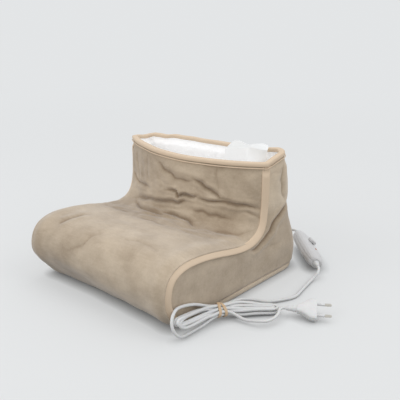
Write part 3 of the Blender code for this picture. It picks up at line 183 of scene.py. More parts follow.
# Controller and plug
CONTROL_NEAR = Vector((182 * MM, 140 * MM, 14.5 * MM))
CONTROL_FAR = Vector((93 * MM, 220 * MM, 20 * MM))
CONTROL_ROLL = math.radians(42)
CONTROL_LENGTH = 100 * MM
RELIEF_LENGTH = 11 * MM
PLUG_ROOT = Vector((232 * MM, 9 * MM, 13 * MM))
PLUG_HEADING = math.radians(33)
PLUG_ROLL = math.radians(24)
PLUG_RELIEF_LENGTH = 15 * MM

# How the worn boot leans: (place, rise) pairs across the collar, in front and behind, and up the right
# heel corner.
COLLAR_MIDDLE = 62 * MM
COLLAR_HALF = 34 * MM
SAG_FROM = 105 * MM
FRONT_SAG = (
    (-136 * MM, -3 * MM), (-60 * MM, 1.5 * MM), (0, 2.8 * MM), (60 * MM, 3.8 * MM), (136 * MM, 3.6 * MM),
)
BACK_SAG = (
    (-130 * MM, -12 * MM), (-96 * MM, -9 * MM), (-60 * MM, -3 * MM), (-20 * MM, 0), (40 * MM, 3 * MM),
    (96 * MM, 5 * MM), (136 * MM, 9 * MM),
)
HEEL_FROM = (96 * MM, 62 * MM)
HEEL_REACH = 34 * MM
HEEL_SWELL = (
    (0, 0), (14 * MM, 1.5 * MM), (50 * MM, 4.5 * MM), (92 * MM, 4 * MM), (112 * MM, 4.5 * MM),
    (140 * MM, 8 * MM), (170 * MM, 7 * MM), (196 * MM, 6 * MM),
)
# How far the toe's lower edge stands off the floor, from left to right.
TOE_LIFT = (
    (-136 * MM, 13 * MM), (-85 * MM, 15 * MM), (-46 * MM, 15 * MM), (15 * MM, 9 * MM), (75 * MM, 2 * MM),
    (110 * MM, 0),
)
TOE_LIFT_FROM = -112 * MM
TOE_LIFT_REACH = 34 * MM
TOE_LIFT_HIGH = 75 * MM

FOLD_EDGE = 1.5
NAP = 0.32

# Creases of the front cover: points as (across, up from the floor) on the flat cover in millimetres,
# then the crease's width and depth.
FRONT_CREASES = (
    (((-98, 278), (-82, 282), (-66, 285), (-46, 287), (-32, 287), (-20, 289), (-6, 292), (4, 294), (14, 294),
      (22, 299), (31, 300)), 3.0, 4.2),
    (((-14, 308), (0, 311), (10, 312), (13, 304), (22, 309), (28, 309), (32, 308), (40, 308),
      (48, 312)), 2.6, 4.6),
    (((42, 308), (54, 307), (64, 307), (74, 307), (88, 309), (96, 308), (106, 307), (116, 308), (124, 307),
      (135, 303)), 2.8, 4.2),
    (((36, 336), (44, 332), (52, 330), (60, 325), (68, 322), (76, 317), (80, 313), (94, 312)), 3.0, 4.0),
    (((38, 289), (48, 289), (56, 290), (66, 287), (78, 289), (84, 287), (98, 287)), 2.8, 2.6),
    (((-88, 278), (-76, 273), (-64, 269), (-50, 266), (-34, 266), (-20, 266), (-10, 266),
      (0, 267)), 3.0, 3.2),
    (((-6, 273), (0, 273), (12, 274), (24, 274), (34, 273), (42, 271), (50, 267), (58, 263)), 3.0, 3.8),
    (((-122, 312), (-114, 308), (-104, 304), (-94, 301), (-68, 303), (-52, 303)), 3.2, 3.0),
    (((73, 354), (74, 346), (76, 331), (80, 317)), 3.0, 1.0),
    (((114, 301), (122, 299), (128, 297), (136, 293)), 2.2, 2.0),
    (((84, 268), (100, 269), (120, 271), (130, 282)), 6.0, 1.6),
    (((-40, 350), (-28, 345), (-10, 337), (6, 331), (26, 330), (42, 331)), 6.0, 3.0),
    (((-106, 352), (-102, 330), (-88, 298)), 4.6, 1.0),
    (((-118, 350), (-116, 330), (-112, 310)), 4.6, 1.0),
    (((-68, 352), (-64, 332), (-60, 310)), 4.6, 0.9),
    (((-118, 240), (-84, 236), (-50, 240)), 6.0, 1.4),
    (((-30, 232), (8, 236), (44, 228)), 7.0, 1.2),
    (((-96, 136), (-90, 147), (-86, 155), (-80, 171), (-70, 186)), 5.0, 2.2),
    (((-54, 105), (-26, 122), (-10, 150)), 10.0, 1.4),
    (((20, 150), (60, 160), (96, 150)), 10.0, 1.2),
)
# Creases of the right side cover, as (along, up) in millimetres; the left side has fewer.
SIDE_CREASES_RIGHT = (
    (((112, 120), (104, 112), (92, 103), (84, 97), (79, 91), (74, 81), (60, 71), (48, 66), (36, 64),
      (26, 65)), 3.8, 4.8),
    (((104, 58), (96, 59), (84, 56), (74, 57), (62, 58), (50, 60)), 6.0, 0.7),
    (((93, 174), (87, 152), (90, 134), (98, 120)), 4.0, 2.4),
    (((70, 168), (84, 164), (96, 168)), 3.5, 1.2),
)
SIDE_CREASES_LEFT = (
    (((120, 108), (92, 90), (60, 74), (26, 68)), 6.0, 5.0),
    (((82, 176), (86, 140), (78, 110)), 7.0, 2.4),
    (((-110, 46), (-60, 54), (0, 44)), 14.0, 1.6),
)
BACK_CREASES = (
    (((-96, 128), (-70, 121), (-34, 117), (4, 118), (22, 123)), 8.0, 2.0),
    (((-66, 84), (-20, 79), (34, 86)), 10.0, 1.6),
    (((12, 112), (48, 106), (88, 114)), 9.0, 1.6),
    (((-20, 160), (24, 152), (52, 156)), 8.0, 1.2),
)


class BootSettings(bpy.types.PropertyGroup):
    """Sizes of the soft covers and tapes."""
    grid: FloatProperty(
        name="Cover Grid", description="Spacing of the points of the suede covers",
        default=2 * MM, min=1 * MM, max=8 * MM, subtype="DISTANCE", unit="LENGTH",
    )
    crease: FloatProperty(
        name="Crease Depth", description="How deep the covers' creases are, against the worn boot",
        default=0.88, min=0.0, max=2.0, subtype="FACTOR",
    )
    slump: FloatProperty(
        name="Slump", description="Height of the soft, broad unevenness of the covers",
        default=1.5 * MM, min=0.0, max=4 * MM, subtype="DISTANCE", unit="LENGTH",
    )
    puff: FloatProperty(
        name="Puff", description="Height of the puffs where the padded cover bends at the ankle",
        default=3.8 * MM, min=0.0, max=12 * MM, subtype="DISTANCE", unit="LENGTH",
    )
    seam_dip: FloatProperty(
        name="Seam Dip", description="How far the padded covers sink where they are sewn",
        default=0.6 * MM, min=0.0, max=2.5 * MM, subtype="DISTANCE", unit="LENGTH",
    )
    seam_swell: FloatProperty(
        name="Seam Swell", description="How far the padded covers swell beside the side seams",
        default=2.2 * MM, min=0.0, max=5 * MM, subtype="DISTANCE", unit="LENGTH",
    )
    tape_width: FloatProperty(
        name="Tape Width", description="Width of the bias tape on the side seams",
        default=10.8 * MM, min=6 * MM, max=12 * MM, subtype="DISTANCE", unit="LENGTH",
    )
    tuft: FloatProperty(
        name="Tuft Height", description="Unevenness of the plush pile",
        default=1.3 * MM, min=0.2 * MM, max=2.5 * MM, subtype="DISTANCE", unit="LENGTH",
    )


class CordSettings(bpy.types.PropertyGroup):
    """Sizes of the cords."""
    sides: IntProperty(
        name="Cord Roundness", description="Bevel resolution of the cords", default=4, min=2, max=8,
    )
    lead_length: FloatProperty(
        name="Lead Length", description="Length of the lead from the boot to the controller",
        default=0.55, min=0.3, max=1.0, subtype="DISTANCE", unit="LENGTH",
    )
    mains_length: FloatProperty(
        name="Mains Cord Length", description="Length of the cord from the controller to the plug",
        default=1.95, min=1.5, max=2.5, subtype="DISTANCE", unit="LENGTH",
    )


class FinishSettings(bpy.types.PropertyGroup):
    """Colours of the finishes."""
    suede: FloatVectorProperty(
        name="Suede", description="Colour of the brushed suede", subtype="COLOR", size=3,
        default=(0.72, 0.6, 0.452), min=0.0, max=1.0,
    )
    # The suede's dark colour: where its nap is brushed the other way, and what the painted shade along the
    # creases and in the instep mixes towards.
    suede_shade: FloatVectorProperty(
        name="Suede Shade", description="Colour of the nap where it is brushed the other way",
        subtype="COLOR", size=3, default=(0.27, 0.195, 0.125), min=0.0, max=1.0,
    )
    tape: FloatVectorProperty(
        name="Tape", description="Colour of the bias tapes", subtype="COLOR", size=3,
        default=(0.74, 0.585, 0.43), min=0.0, max=1.0,
    )
    plush: FloatVectorProperty(
        name="Plush", description="Colour of the plush", subtype="COLOR", size=3,
        default=(0.95, 0.945, 0.94), min=0.0, max=1.0,
    )
    vinyl: FloatVectorProperty(
        name="Vinyl", description="Colour of the cord and plug", subtype="COLOR", size=3,
        default=(0.72, 0.71, 0.70), min=0.0, max=1.0,
    )
    shell: FloatVectorProperty(
        name="Shell", description="Colour of the controller's shells", subtype="COLOR", size=3,
        default=(0.61, 0.60, 0.595), min=0.0, max=1.0,
    )
    band: FloatVectorProperty(
        name="Band", description="Colour of the rubber band", subtype="COLOR", size=3,
        default=(0.66, 0.48, 0.31), min=0.0, max=1.0,
    )


class StudioSettings(bpy.types.PropertyGroup):
    """Camera, floor and lights."""
    lens: FloatProperty(
        name="Lens", description="Focal length on a 36 mm sensor", default=65.7, min=35, max=120,
        subtype="DISTANCE_CAMERA", unit="CAMERA",
    )
    backdrop: FloatVectorProperty(
        name="Backdrop", description="Colour of the backdrop", subtype="COLOR", size=3,
        default=(0.77, 0.785, 0.795), min=0.0, max=1.0,
    )
    floor: FloatVectorProperty(
        name="Floor", description="Colour of the floor", subtype="COLOR", size=3,
        default=(0.35, 0.35, 0.345), min=0.0, max=1.0,
    )
    floor_lift: FloatProperty(
        name="Floor Lift", description="How far the backdrop's own light lifts the shadow on the floor",
        default=0.51, min=0.0, max=1.0,
    )
    sky_strength: FloatProperty(
        name="Sky Strength", description="Strength of the light from all round", default=0.85, min=0.0,
        max=3.0,
    )
    key_power: FloatProperty(
        name="Key Power", description="Power of the large soft light to the right and above", default=11.0,
        min=0.0, max=200.0, unit="POWER",
    )
    fill_power: FloatProperty(
        name="Fill Power", description="Power of the light in front on the left", default=13.0, min=0.0,
        max=200.0, unit="POWER",
    )
    top_power: FloatProperty(
        name="Top Power", description="Power of the light overhead", default=4.0, min=0.0, max=200.0,
        unit="POWER",
    )


def boot_settings():
    return bpy.context.scene.foot_warmer_boot


def cord_settings():
    return bpy.context.scene.foot_warmer_cord


def finishes():
    return bpy.context.scene.foot_warmer_finish


def studio():
    return bpy.context.scene.foot_warmer_studio


# ---- Shape of the boot ----


def smooth_at(points, place):
    """The point at a place, counted in points, on the smooth curve through the points."""
    last = len(points) - 1
    first = min(max(int(math.floor(place)), 0), last - 1)
    u = place - first
    p1 = points[first]
    p2 = points[first + 1]
    p0 = points[first - 1] if first > 0 else [2 * a - b for a, b in zip(p1, p2)]
    p3 = points[first + 2] if first + 2 <= last else [2 * b - a for a, b in zip(p1, p2)]
    return [
        0.5 * (2 * b + (c - a) * u + (2 * a - 5 * b + 4 * c - d) * u * u + (3 * b - a - 3 * c + d) * u ** 3)
        for a, b, c, d in zip(p0, p1, p2, p3)
    ]


def blend(low, high, share):
    return low + (high - low) * share


def ease(share):
    share = min(max(share, 0.0), 1.0)
    return share * share * (3 - 2 * share)


def noise_at(x, y, z):
    return noise.noise(Vector((x, y, z)))


def squared(value, power):
    """A cosine or sine raised to a power under one, which squares off the circle it draws."""
    return math.copysign(abs(value) ** power, value)


def oval_ring(centre, wide, high, powers, sides):
    """Points round a squared-off oval. wide and high reach from its centre to its edges."""
    ring = []
    for k in range(sides):
        turn = math.tau * (k + 0.5) / sides
        ring.append(
            centre + wide * squared(math.cos(turn), powers[0]) + high * squared(math.sin(turn), powers[1])
        )
    return ring


def outline_at(shares, place, height):
    y_share, z_share = smooth_at(shares, place)
    return TOE_Y + y_share * LENGTH, z_share * height


@lru_cache(maxsize=4096)
def front_outlines(place):
    return (*outline_at(SEAM_SHARES, place, FRONT_HEIGHT), *outline_at(MIDDLE_SHARES, place, FRONT_HEIGHT))


def front_surface(place, x):
    seam_y, seam_z, middle_y, middle_z = front_outlines(place)
    fullness = 1 - (x / HALF) ** 2
    return Vector((x, blend(seam_y, middle_y, fullness), blend(seam_z, middle_z, fullness)))


def front_point(place, x, depth):
    """A point at a depth below the front cover's outside."""
    step = 0.01
    along = front_surface(place + step, x) - front_surface(place - step, x)
    across = front_surface(place, x + step * HALF) - front_surface(place, x - step * HALF)
    return front_surface(place, x) - across.cross(along).normalized() * depth


def front_place_below_rim(drop):
    rise = (SEAM_SHARES[-1][1] - SEAM_SHARES[-2][1]) * FRONT_HEIGHT
    return SEAM_END - drop / rise


def front_runs():
    """How far up the middle of the front cover each twentieth of a place lies."""
    runs = [0.0]
    before = front_surface(0, 0)
    for k in range(1, SEAM_END * 20 + 1):
        point = front_surface(k / 20, 0)
        runs.append(runs[-1] + (point - before).length)
        before = point
    return runs


FRONT_RUNS = front_runs()


def run_of(place):
    k = min(max(place * 20, 0), len(FRONT_RUNS) - 1.001)
    return blend(FRONT_RUNS[int(k)], FRONT_RUNS[int(k) + 1], k - int(k))


def place_of(run):
    """The place on the outline that a run up the front cover reaches."""
    low, high = 0, len(FRONT_RUNS) - 1
    while high - low > 1:
        middle = (low + high) // 2
        if FRONT_RUNS[middle] < run:
            low = middle
        else:
            high = middle
    share = (run - FRONT_RUNS[low]) / (FRONT_RUNS[high] - FRONT_RUNS[low])
    return (low + share) / 20


def back_line(step=1 * MM):
    """How far back the boot reaches, at even steps of height."""
    line, place = [], 0.0
    for k in range(int(BACK_HEIGHT / step) + 2):
        while place < BACK_END and outline_at(BACK_SHARES, place, BACK_HEIGHT)[1] < k * step:
            place += 0.002
        line.append(outline_at(BACK_SHARES, place, BACK_HEIGHT)[0])
    return line


BACK_LINE = back_line()


def back_y(z):
    k = min(max(z / MM, 0), len(BACK_LINE) - 1.001)
    return blend(BACK_LINE[int(k)], BACK_LINE[int(k) + 1], k - int(k))


def corner_radius(z):
    return blend(HEEL_CORNER_LOW, HEEL_CORNER_HIGH, z / BACK_HEIGHT)


def corner_start(z):
    return back_y(z) - corner_radius(z)


def seam_reach(z):
    return corner_start(z) + corner_radius(z) * math.pi / 2


def side_point(side, reach, z, depth):
    """A point of the side cover, bent round the heel corner."""
    start = corner_start(z)
    if reach <= start:
        return Vector((side * (HALF - depth), reach, z))
    radius = corner_radius(z)
    turn = (reach - start) / radius
    return Vector((
        side * (HALF - radius + (radius - depth) * math.cos(turn)),
        start + (radius - depth) * math.sin(turn),
        z,
    ))


def back_point(share, z, depth):
    hollow = REAR_HOLLOW * ease((z / BACK_HEIGHT - REAR_HOLLOW_LOW_SHARE) / (1 - REAR_HOLLOW_LOW_SHARE))
    x = share * (HALF - corner_radius(z) - CLEARANCE / 2)
    return Vector((x, back_y(z) - hollow * (1 - share * share) - depth, z))


def rim_z(reach):
    start = TOE_Y + SEAM_SHARES[-1][0] * LENGTH
    end = seam_reach(BACK_HEIGHT)
    return blend(FRONT_HEIGHT, BACK_HEIGHT, (reach - start) / (end - start))


def seam_inset(place, inset):
    """The side seam's outline in its own plane, moved into the boot by an inset."""
    step = 0.01
    y0, z0 = outline_at(SEAM_SHARES, place - step, FRONT_HEIGHT)
    y1, z1 = outline_at(SEAM_SHARES, place + step, FRONT_HEIGHT)
    long = math.hypot(y1 - y0, z1 - z0)
    y, z = outline_at(SEAM_SHARES, place, FRONT_HEIGHT)
    return y + (z1 - z0) / long * inset, z - (y1 - y0) / long * inset


def plush_depth(drop):
    swell = ease((drop - RIM_COVER) / PLUSH_SWELL)
    return LINING_DEPTH + blend(PLUSH_AT_RIM, PLUSH, swell)


# ---- How the soft boot stands ----


def along_list(pairs, x):
    """The value at x on a line through (x, value) pairs."""
    if x <= pairs[0][0]:
        return pairs[0][1]
    for (x0, v0), (x1, v1) in zip(pairs, pairs[1:]):
        if x <= x1:
            return blend(v0, v1, ease((x - x0) / (x1 - x0)))
    return pairs[-1][1]


def settle(point):
    """Moves a point of the soft boot to where it stands: collar sagging left, heel filled out, toe lifted."""
    x, y, z = point
    moved = Vector(point)
    rear = ease((y - COLLAR_MIDDLE) / COLLAR_HALF)
    high = ease((z - SAG_FROM) / (BACK_HEIGHT - SAG_FROM))
    moved.z += high * blend(along_list(FRONT_SAG, x), along_list(BACK_SAG, x), rear)
    corner = ease((x - HEEL_FROM[0]) / HEEL_REACH) * ease((y - HEEL_FROM[1]) / HEEL_REACH)
    swell = corner * along_list(HEEL_SWELL, z)
    moved += Vector((swell, swell, 0)) * math.sqrt(0.5)
    ahead = ease((TOE_LIFT_FROM - y) / TOE_LIFT_REACH)
    moved.z += along_list(TOE_LIFT, x) * ahead * (1 - ease(z / TOE_LIFT_HIGH))
    moved.z = max(moved.z, 0.0)
    return moved


# ---- Creases ----


def distance_to(u, v, points):
    """The distance from a point to a crease's line, and the share of the line at its nearest point."""
    least, share = 1e9, 0.0
    count = len(points) - 1
    for k in range(count):
        (au, av), (bu, bv) = points[k], points[k + 1]
        du, dv = bu - au, bv - av
        t = ((u - au) * du + (v - av) * dv) / (du * du + dv * dv)
        t = min(max(t, 0.0), 1.0)
        d = math.hypot(u - au - du * t, v - av - dv * t)
        if d < least:
            least, share = d, (k + t) / count
    return least, share


CREASE_WOBBLE = 0.055
CREASE_END_FADE = (0.12, 4.2)


def near_creases(u, v, creases, widths):
    """Each crease within so many of its widths: its width, depth, distance and fade towards its ends."""
    u, v = u / MM, v / MM
    for points, width, depth in creases:
        reach = width * widths
        if not (min(p[0] for p in points) - reach < u < max(p[0] for p in points) + reach):
            continue
        if not (min(p[1] for p in points) - reach < v < max(p[1] for p in points) + reach):
            continue
        wobble = noise_at(u * CREASE_WOBBLE, v * CREASE_WOBBLE, depth) * width * 0.9
        away, share = distance_to(u + wobble, v + wobble * 0.7, points)
        least, slope = CREASE_END_FADE
        yield width, depth, away, min(1.0, least + slope * min(share, 1 - share))


def crease_height(u, v, creases):
    """How far the creases move a point of a cover out, in metres. u and v are metres on the flat cover."""
    height = 0.0
    widths = 4.5
    for width, depth, away, fade in near_creases(u, v, creases, widths):
        if away > width * widths:
            continue
        groove = 0.72 * math.exp(-away / FOLD_EDGE) + 0.28 * math.exp(-((away / (width * 1.3)) ** 2))
        swell = math.exp(-(((away - width * 1.9) / (width * 1.1)) ** 2))
        height += depth * fade * (0.45 * swell - groove)
    return height * MM * boot_settings().crease


def painted_crease_shade(u, v, creases):
    """Painted shade along the creases, from 0 to 1: how far the suede's colour is darkened there."""
    most = 0.0
    for width, depth, away, fade in near_creases(u, v, creases, 2.5):
        dark = 0.65 * math.exp(-away / 1.6) + 0.35 * math.exp(-away / width)
        most = max(most, fade * depth / 5 * dark)
    return most


def nap_patches(u, v, seed):
    """Broad patches of nap brushed the other way."""
    warp = noise_at(u / 0.03, v / 0.03, seed + 2) * 0.5
    patch = noise_at(u / 0.045 + warp, v / 0.03 + warp, seed)
    return 0.13 * patch


def held(height):
    """A cover's height with its base puff, kept from sinking into the lining."""
    height += BASE_PUFF
    if height < 0:
        return -DEEPEST * math.tanh(-height / DEEPEST)
    return height


def sewn_height(rise, sewn, least, swell=0.0):
    """A cover's height where sewn is 0 on its seam and 1 clear of it, and least is what the seam leaves."""
    dip = boot_settings().seam_dip + BASE_PUFF
    return held(rise * (least + (1 - least) * sewn) + swell - dip * (1 - sewn))


def slump_height(u, v, seed):
    """Broad, soft unevenness of a cover, with fine puckers on top."""
    broad = noise_at(u / 0.055, v / 0.034, seed)
    middle = noise_at(u / 0.021, v / 0.013, seed + 7)
    return boot_settings().slump * (broad + 0.38 * middle)


def puff_height(u, v, seed):
    """Padded fabric that has been bent: round puffs with sharp valleys between them."""
    warp = noise_at(u / 0.04, v / 0.04, seed + 3) * 0.4
    large = abs(noise_at(u / 0.062 + warp, v / 0.026 + warp, seed))
    small = abs(noise_at(u / 0.027, v / 0.012 - warp, seed + 5))
    return boot_settings().puff * (large + 0.4 * small - 0.3)


# ---- Mesh helpers ----


def add_piece(name, mesh, look, body, nodes=(), smooth=50):
    """Adds a finished mesh of the soft boot as a piece that rides on a body and stands for its CAD nodes."""
    for vertex in mesh.vertices:
        vertex.co = settle(vertex.co)
    thing = bpy.data.objects.new(name, mesh)
    bpy.context.scene.collection.objects.link(thing)
    mesh.materials.append(look)
    mesh.shade_smooth()
    mesh.set_sharp_from_angle(angle=math.radians(smooth))
    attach(thing, body)
    if nodes:
        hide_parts(*nodes)
    return thing


def outward(mesh):
    """Turns a closed mesh's faces to look out."""
    shape = bmesh.new()
    shape.from_mesh(mesh)
    bmesh.ops.recalc_face_normals(shape, faces=shape.faces)
    if shape.calc_volume(signed=True) < 0:
        bmesh.ops.reverse_faces(shape, faces=shape.faces)
    shape.to_mesh(mesh)
    shape.free()


def sheet_mesh(name, us, vs, outer, inner, nap=None):
    """A closed sheet over a grid, its UV map its flat size. outer, inner and nap take (row, column)."""
    rows, columns = len(vs), len(us)
    points = [outer(i, j) for i in range(rows) for j in range(columns)]
    points += [inner(i, j) for i in range(rows) for j in range(columns)]
    under = rows * columns
    faces = []
    for i in range(rows - 1):
        for j in range(columns - 1):
            a = i * columns + j
            faces.append((a, a + 1, a + 1 + columns, a + columns))
            faces.append((under + a, under + a + columns, under + a + 1 + columns, under + a + 1))
    edge = list(range(columns - 1))
    edge += [i * columns + columns - 1 for i in range(rows - 1)]
    edge += [(rows - 1) * columns + columns - 1 - j for j in range(columns - 1)]
    edge += [(rows - 1 - i) * columns for i in range(rows - 1)]
    for k, a in enumerate(edge):
        b = edge[(k + 1) % len(edge)]
        faces.append((a, under + a, under + b, b))
    mesh = bpy.data.meshes.new(name)
    mesh.from_pydata(points, [], faces)
    outward(mesh)
    layer = mesh.uv_layers.new(name="flat")
    for loop in mesh.loops:
        k = loop.vertex_index % under
        layer.data[loop.index].uv = (us[k % columns], vs[k // columns])
    # The nap attribute carries the nap's own patches together with shade and light painted into the suede's
    # colour.
    if nap:
        brushed = mesh.attributes.new("nap", "FLOAT", "POINT")
        for k in range(under):
            brushed.data[k].value = nap(k // columns, k % columns)
    return mesh


def swept_mesh(name, sections, lengths, closed=False):
    """A solid through rings of points. Its UV map gives the run along it and round it, in metres."""
    size, count = len(sections[0]), len(sections)
    points = [p for section in sections for p in section]
    around = [0.0]
    for j in range(size):
        around.append(around[-1] + (sections[0][(j + 1) % size] - sections[0][j]).length)
    faces, uvs = [], []
    for i in range(count if closed else count - 1):
        for j in range(size):
            a, b = i * size, (i + 1) % count * size
            k = (j + 1) % size
            faces.append((a + j, a + k, b + k, b + j))
            ahead = lengths[i + 1] if i + 1 < len(lengths) else lengths[i] + lengths[1]
            uvs.append(((lengths[i], around[j]), (lengths[i], around[j + 1]),
                        (ahead, around[j + 1]), (ahead, around[j])))
    if not closed:
        faces.append(tuple(range(size)))
        faces.append(tuple(range((count - 1) * size, count * size)))
        uvs += [((0, 0),) * size] * 2
    mesh = bpy.data.meshes.new(name)
    mesh.from_pydata(points, [], faces)
    layer = mesh.uv_layers.new(name="flat")
    for polygon, corners in zip(mesh.polygons, uvs):
        for loop, uv in zip(polygon.loop_indices, corners):
            layer.data[loop].uv = uv
    outward(mesh)
    return mesh


def run_lengths(points):
    lengths = [0.0]
    for a, b in zip(points, points[1:]):
        lengths.append(lengths[-1] + (b - a).length)
    return lengths


def steps_between(low, high, step):
    count = max(int(round((high - low) / step)), 2)
    return [blend(low, high, k / count) for k in range(count + 1)]


# ---- Finishes ----


def new_group(name, **defaults):
    """A node group with a socket for each default: its tree, and its input and output nodes."""
    tree = bpy.data.node_groups.new(name, "ShaderNodeTree")
    for label, default in defaults.items():
        kind = "NodeSocketColor" if isinstance(default, tuple) else "NodeSocketFloat"
        socket = tree.interface.new_socket(
            name=label.replace("_", " ").title(), in_out="INPUT", socket_type=kind,
        )
        socket.default_value = default
    for label, kind in (("Colour", "Color"), ("Roughness", "Float"), ("Height", "Float")):
        tree.interface.new_socket(name=label, in_out="OUTPUT", socket_type="NodeSocket" + kind)
    enter = tree.nodes.new("NodeGroupInput")
    leave = tree.nodes.new("NodeGroupOutput")
    return tree, enter, leave


def leave_with(tree, leave, **sources):
    """Feeds a group's outputs."""
    for label, source in sources.items():
        feed(tree, leave.inputs[label.title()], source)


def darkened(tree, enter, value, saturation):
    """The group's colour, made darker."""
    return add_node(tree, "ShaderNodeHueSaturation", (
        ("Color", (enter, "Colour")), ("Value", value), ("Saturation", saturation)))


def feed(tree, socket, source):
    """Links a socket from (node, output), or sets it to a value."""
    if isinstance(source, tuple) and isinstance(source[0], bpy.types.Node):
        tree.links.new(source[0].outputs[source[1]], socket)
    else:
        socket.default_value = source


def add_node(tree, kind, links=(), **values):
    """A node with its properties set and its sockets fed."""
    made = tree.nodes.new(kind)
    for name, value in values.items():
        setattr(made, name, value)
    for socket, source in links:
        feed(tree, made.inputs[socket], source)
    return made


def noise_node(tree, source, scale, detail=3.0, roughness=0.5):
    return add_node(tree, "ShaderNodeTexNoise", (
        ("Vector", source), ("Scale", scale), ("Detail", detail), ("Roughness", roughness),
    ))


def ramp_node(tree, source, low, high):
    return add_node(tree, "ShaderNodeMapRange", (
        ("Value", source), ("From Min", low), ("From Max", high), ("To Min", 0.0), ("To Max", 1.0),
    ))


def mix_colour(tree, share, one, two):
    made = tree.nodes.new("ShaderNodeMix")
    made.data_type = "RGBA"
    for socket, source in ((made.inputs[0], share), (made.inputs[6], one), (made.inputs[7], two)):
        feed(tree, socket, source)
    return made


def maths(tree, operation, *sources):
    made = tree.nodes.new("ShaderNodeMath")
    made.operation = operation
    for socket, source in zip(made.inputs, sources):
        feed(tree, socket, source)
    return made


def brushed_nap_group():
    """Suede: patches brushed light and dark, streaks along the brushing, and fine fibres."""
    tree, enter, leave = new_group(
        "Brushed Nap", colour=(1, 1, 1, 1), shade=(0, 0, 0, 1), patch_size=0.03, contrast=0.6, nap=0.0,
    )
    place = add_node(tree, "ShaderNodeTexCoord")
    scale = maths(tree, "DIVIDE", 1.0, (enter, "Patch Size"))
    warp = noise_node(tree, (place, "Object"), 22.0, 2.0)
    spread = add_node(tree, "ShaderNodeVectorMath", (
        (0, (warp, "Color")), (1, (0.02, 0.02, 0.02)), (2, (0.0, 0.0, 0.0))), operation="MULTIPLY_ADD")
    tree.links.new(place.outputs["Object"], spread.inputs[2])
    patches = noise_node(tree, (spread, "Vector"), 30.0, 4.0, 0.62)
    tree.links.new(scale.outputs[0], patches.inputs["Scale"])
    soft = ramp_node(tree, (patches, "Fac"), 0.34, 0.68)
    stretch = add_node(tree, "ShaderNodeMapping", (("Vector", (place, "Object")), ("Scale", (60, 260, 260))))
    streaks = noise_node(tree, (stretch, "Vector"), 1.0, 3.0, 0.6)
    fibres = noise_node(tree, (place, "Object"), 1500.0, 2.0, 0.7)
    flecks = noise_node(tree, (place, "Object"), 420.0, 3.0, 0.6)
    light = maths(tree, "MULTIPLY", (soft, "Result"), (enter, "Contrast"))
    streak = maths(tree, "MULTIPLY", (streaks, "Fac"), 0.22)
    total = maths(tree, "ADD", (light, 0), (streak, 0))
    fleck = maths(tree, "MULTIPLY", (flecks, "Fac"), 0.2)
    total = maths(tree, "ADD", (total, 0), (fleck, 0))
    # The Nap input carries the nap's patches and also shade and light painted into the suede's colour.
    total = maths(tree, "ADD", (total, 0), (enter, "Nap"))
    share = maths(tree, "SUBTRACT", (total, 0), 0.08)
    share.use_clamp = True
    colour = mix_colour(tree, (share, 0), (enter, "Colour"), (enter, "Shade"))
    rough = maths(tree, "MULTIPLY_ADD", (soft, "Result"), 0.08, 0.88)
    height = maths(tree, "MULTIPLY_ADD", (flecks, "Fac"), 0.7, (fibres, "Fac"))
    leave_with(tree, leave, colour=(colour, 2), roughness=(rough, 0), height=(height, 0))
    return tree


def woven_tape_group():
    """Bias tape: a fine diagonal weave on the tape's own UV map, with two rows of stitches."""
    tree, enter, leave = new_group(
        "Woven Tape", colour=(1, 1, 1, 1), thread_pitch=0.6 * MM, wear=0.3,
    )
    place = add_node(tree, "ShaderNodeTexCoord")
    turned = add_node(tree, "ShaderNodeMapping", (
        ("Vector", (place, "UV")), ("Rotation", (0, 0, math.radians(45)))))
    scale = maths(tree, "DIVIDE", 0.32, (enter, "Thread Pitch"))
    warp = add_node(tree, "ShaderNodeTexWave", (("Vector", (turned, "Vector")), ("Distortion", 0.6)),
                    bands_direction="X")
    weft = add_node(tree, "ShaderNodeTexWave", (("Vector", (turned, "Vector")), ("Distortion", 0.6)),
                    bands_direction="Y")
    for wave in (warp, weft):
        tree.links.new(scale.outputs[0], wave.inputs["Scale"])
    weave = maths(tree, "MULTIPLY", (warp, "Fac"), (weft, "Fac"))
    grime = noise_node(tree, (place, "Object"), 60.0, 4.0, 0.6)
    worn = maths(tree, "MULTIPLY", (grime, "Fac"), (enter, "Wear"))
    darker = darkened(tree, enter, 0.72, 1.1)
    first = mix_colour(tree, (worn, 0), (enter, "Colour"), (darker, "Color"))
    depth = maths(tree, "MULTIPLY_ADD", (weave, 0), -0.16, 0.16)
    second = mix_colour(tree, (depth, 0), (first, 2), (darker, "Color"))
    rough = maths(tree, "MULTIPLY_ADD", (grime, "Fac"), 0.1, 0.74)
    leave_with(tree, leave, colour=(second, 2), roughness=(rough, 0), height=(weave, 0))
    return tree


def plush_pile_group():
    """Plush: tufts of pile with shade between them."""
    tree, enter, leave = new_group(
        "Plush Pile", colour=(1, 1, 1, 1), tuft_size=4 * MM, shade=0.35,
    )
    place = add_node(tree, "ShaderNodeTexCoord")
    scale = maths(tree, "DIVIDE", 1.0, (enter, "Tuft Size"))
    curl = noise_node(tree, (place, "Object"), 140.0, 3.0, 0.6)
    moved = add_node(tree, "ShaderNodeVectorMath", (
        (0, (curl, "Color")), (1, (0.006, 0.006, 0.006)), (2, (0.0, 0.0, 0.0))), operation="MULTIPLY_ADD")
    tree.links.new(place.outputs["Object"], moved.inputs[2])
    tufts = add_node(tree, "ShaderNodeTexVoronoi", (("Vector", (moved, "Vector")), ("Scale", 250.0)))
    tree.links.new(scale.outputs[0], tufts.inputs["Scale"])
    hairs = noise_node(tree, (place, "Object"), 1100.0, 2.0, 0.7)
    gap = ramp_node(tree, (tufts, "Distance"), 0.25, 0.85)
    share = maths(tree, "MULTIPLY", (gap, "Result"), (enter, "Shade"))
    darker = darkened(tree, enter, 0.66, 1.0)
    colour = mix_colour(tree, (share, 0), (enter, "Colour"), (darker, "Color"))
    rise = maths(tree, "SUBTRACT", 1.0, (gap, "Result"))
    height = maths(tree, "MULTIPLY_ADD", (hairs, "Fac"), 0.5, (rise, 0))
    leave_with(tree, leave, colour=(colour, 2), roughness=1.0, height=(height, 0))
    return tree


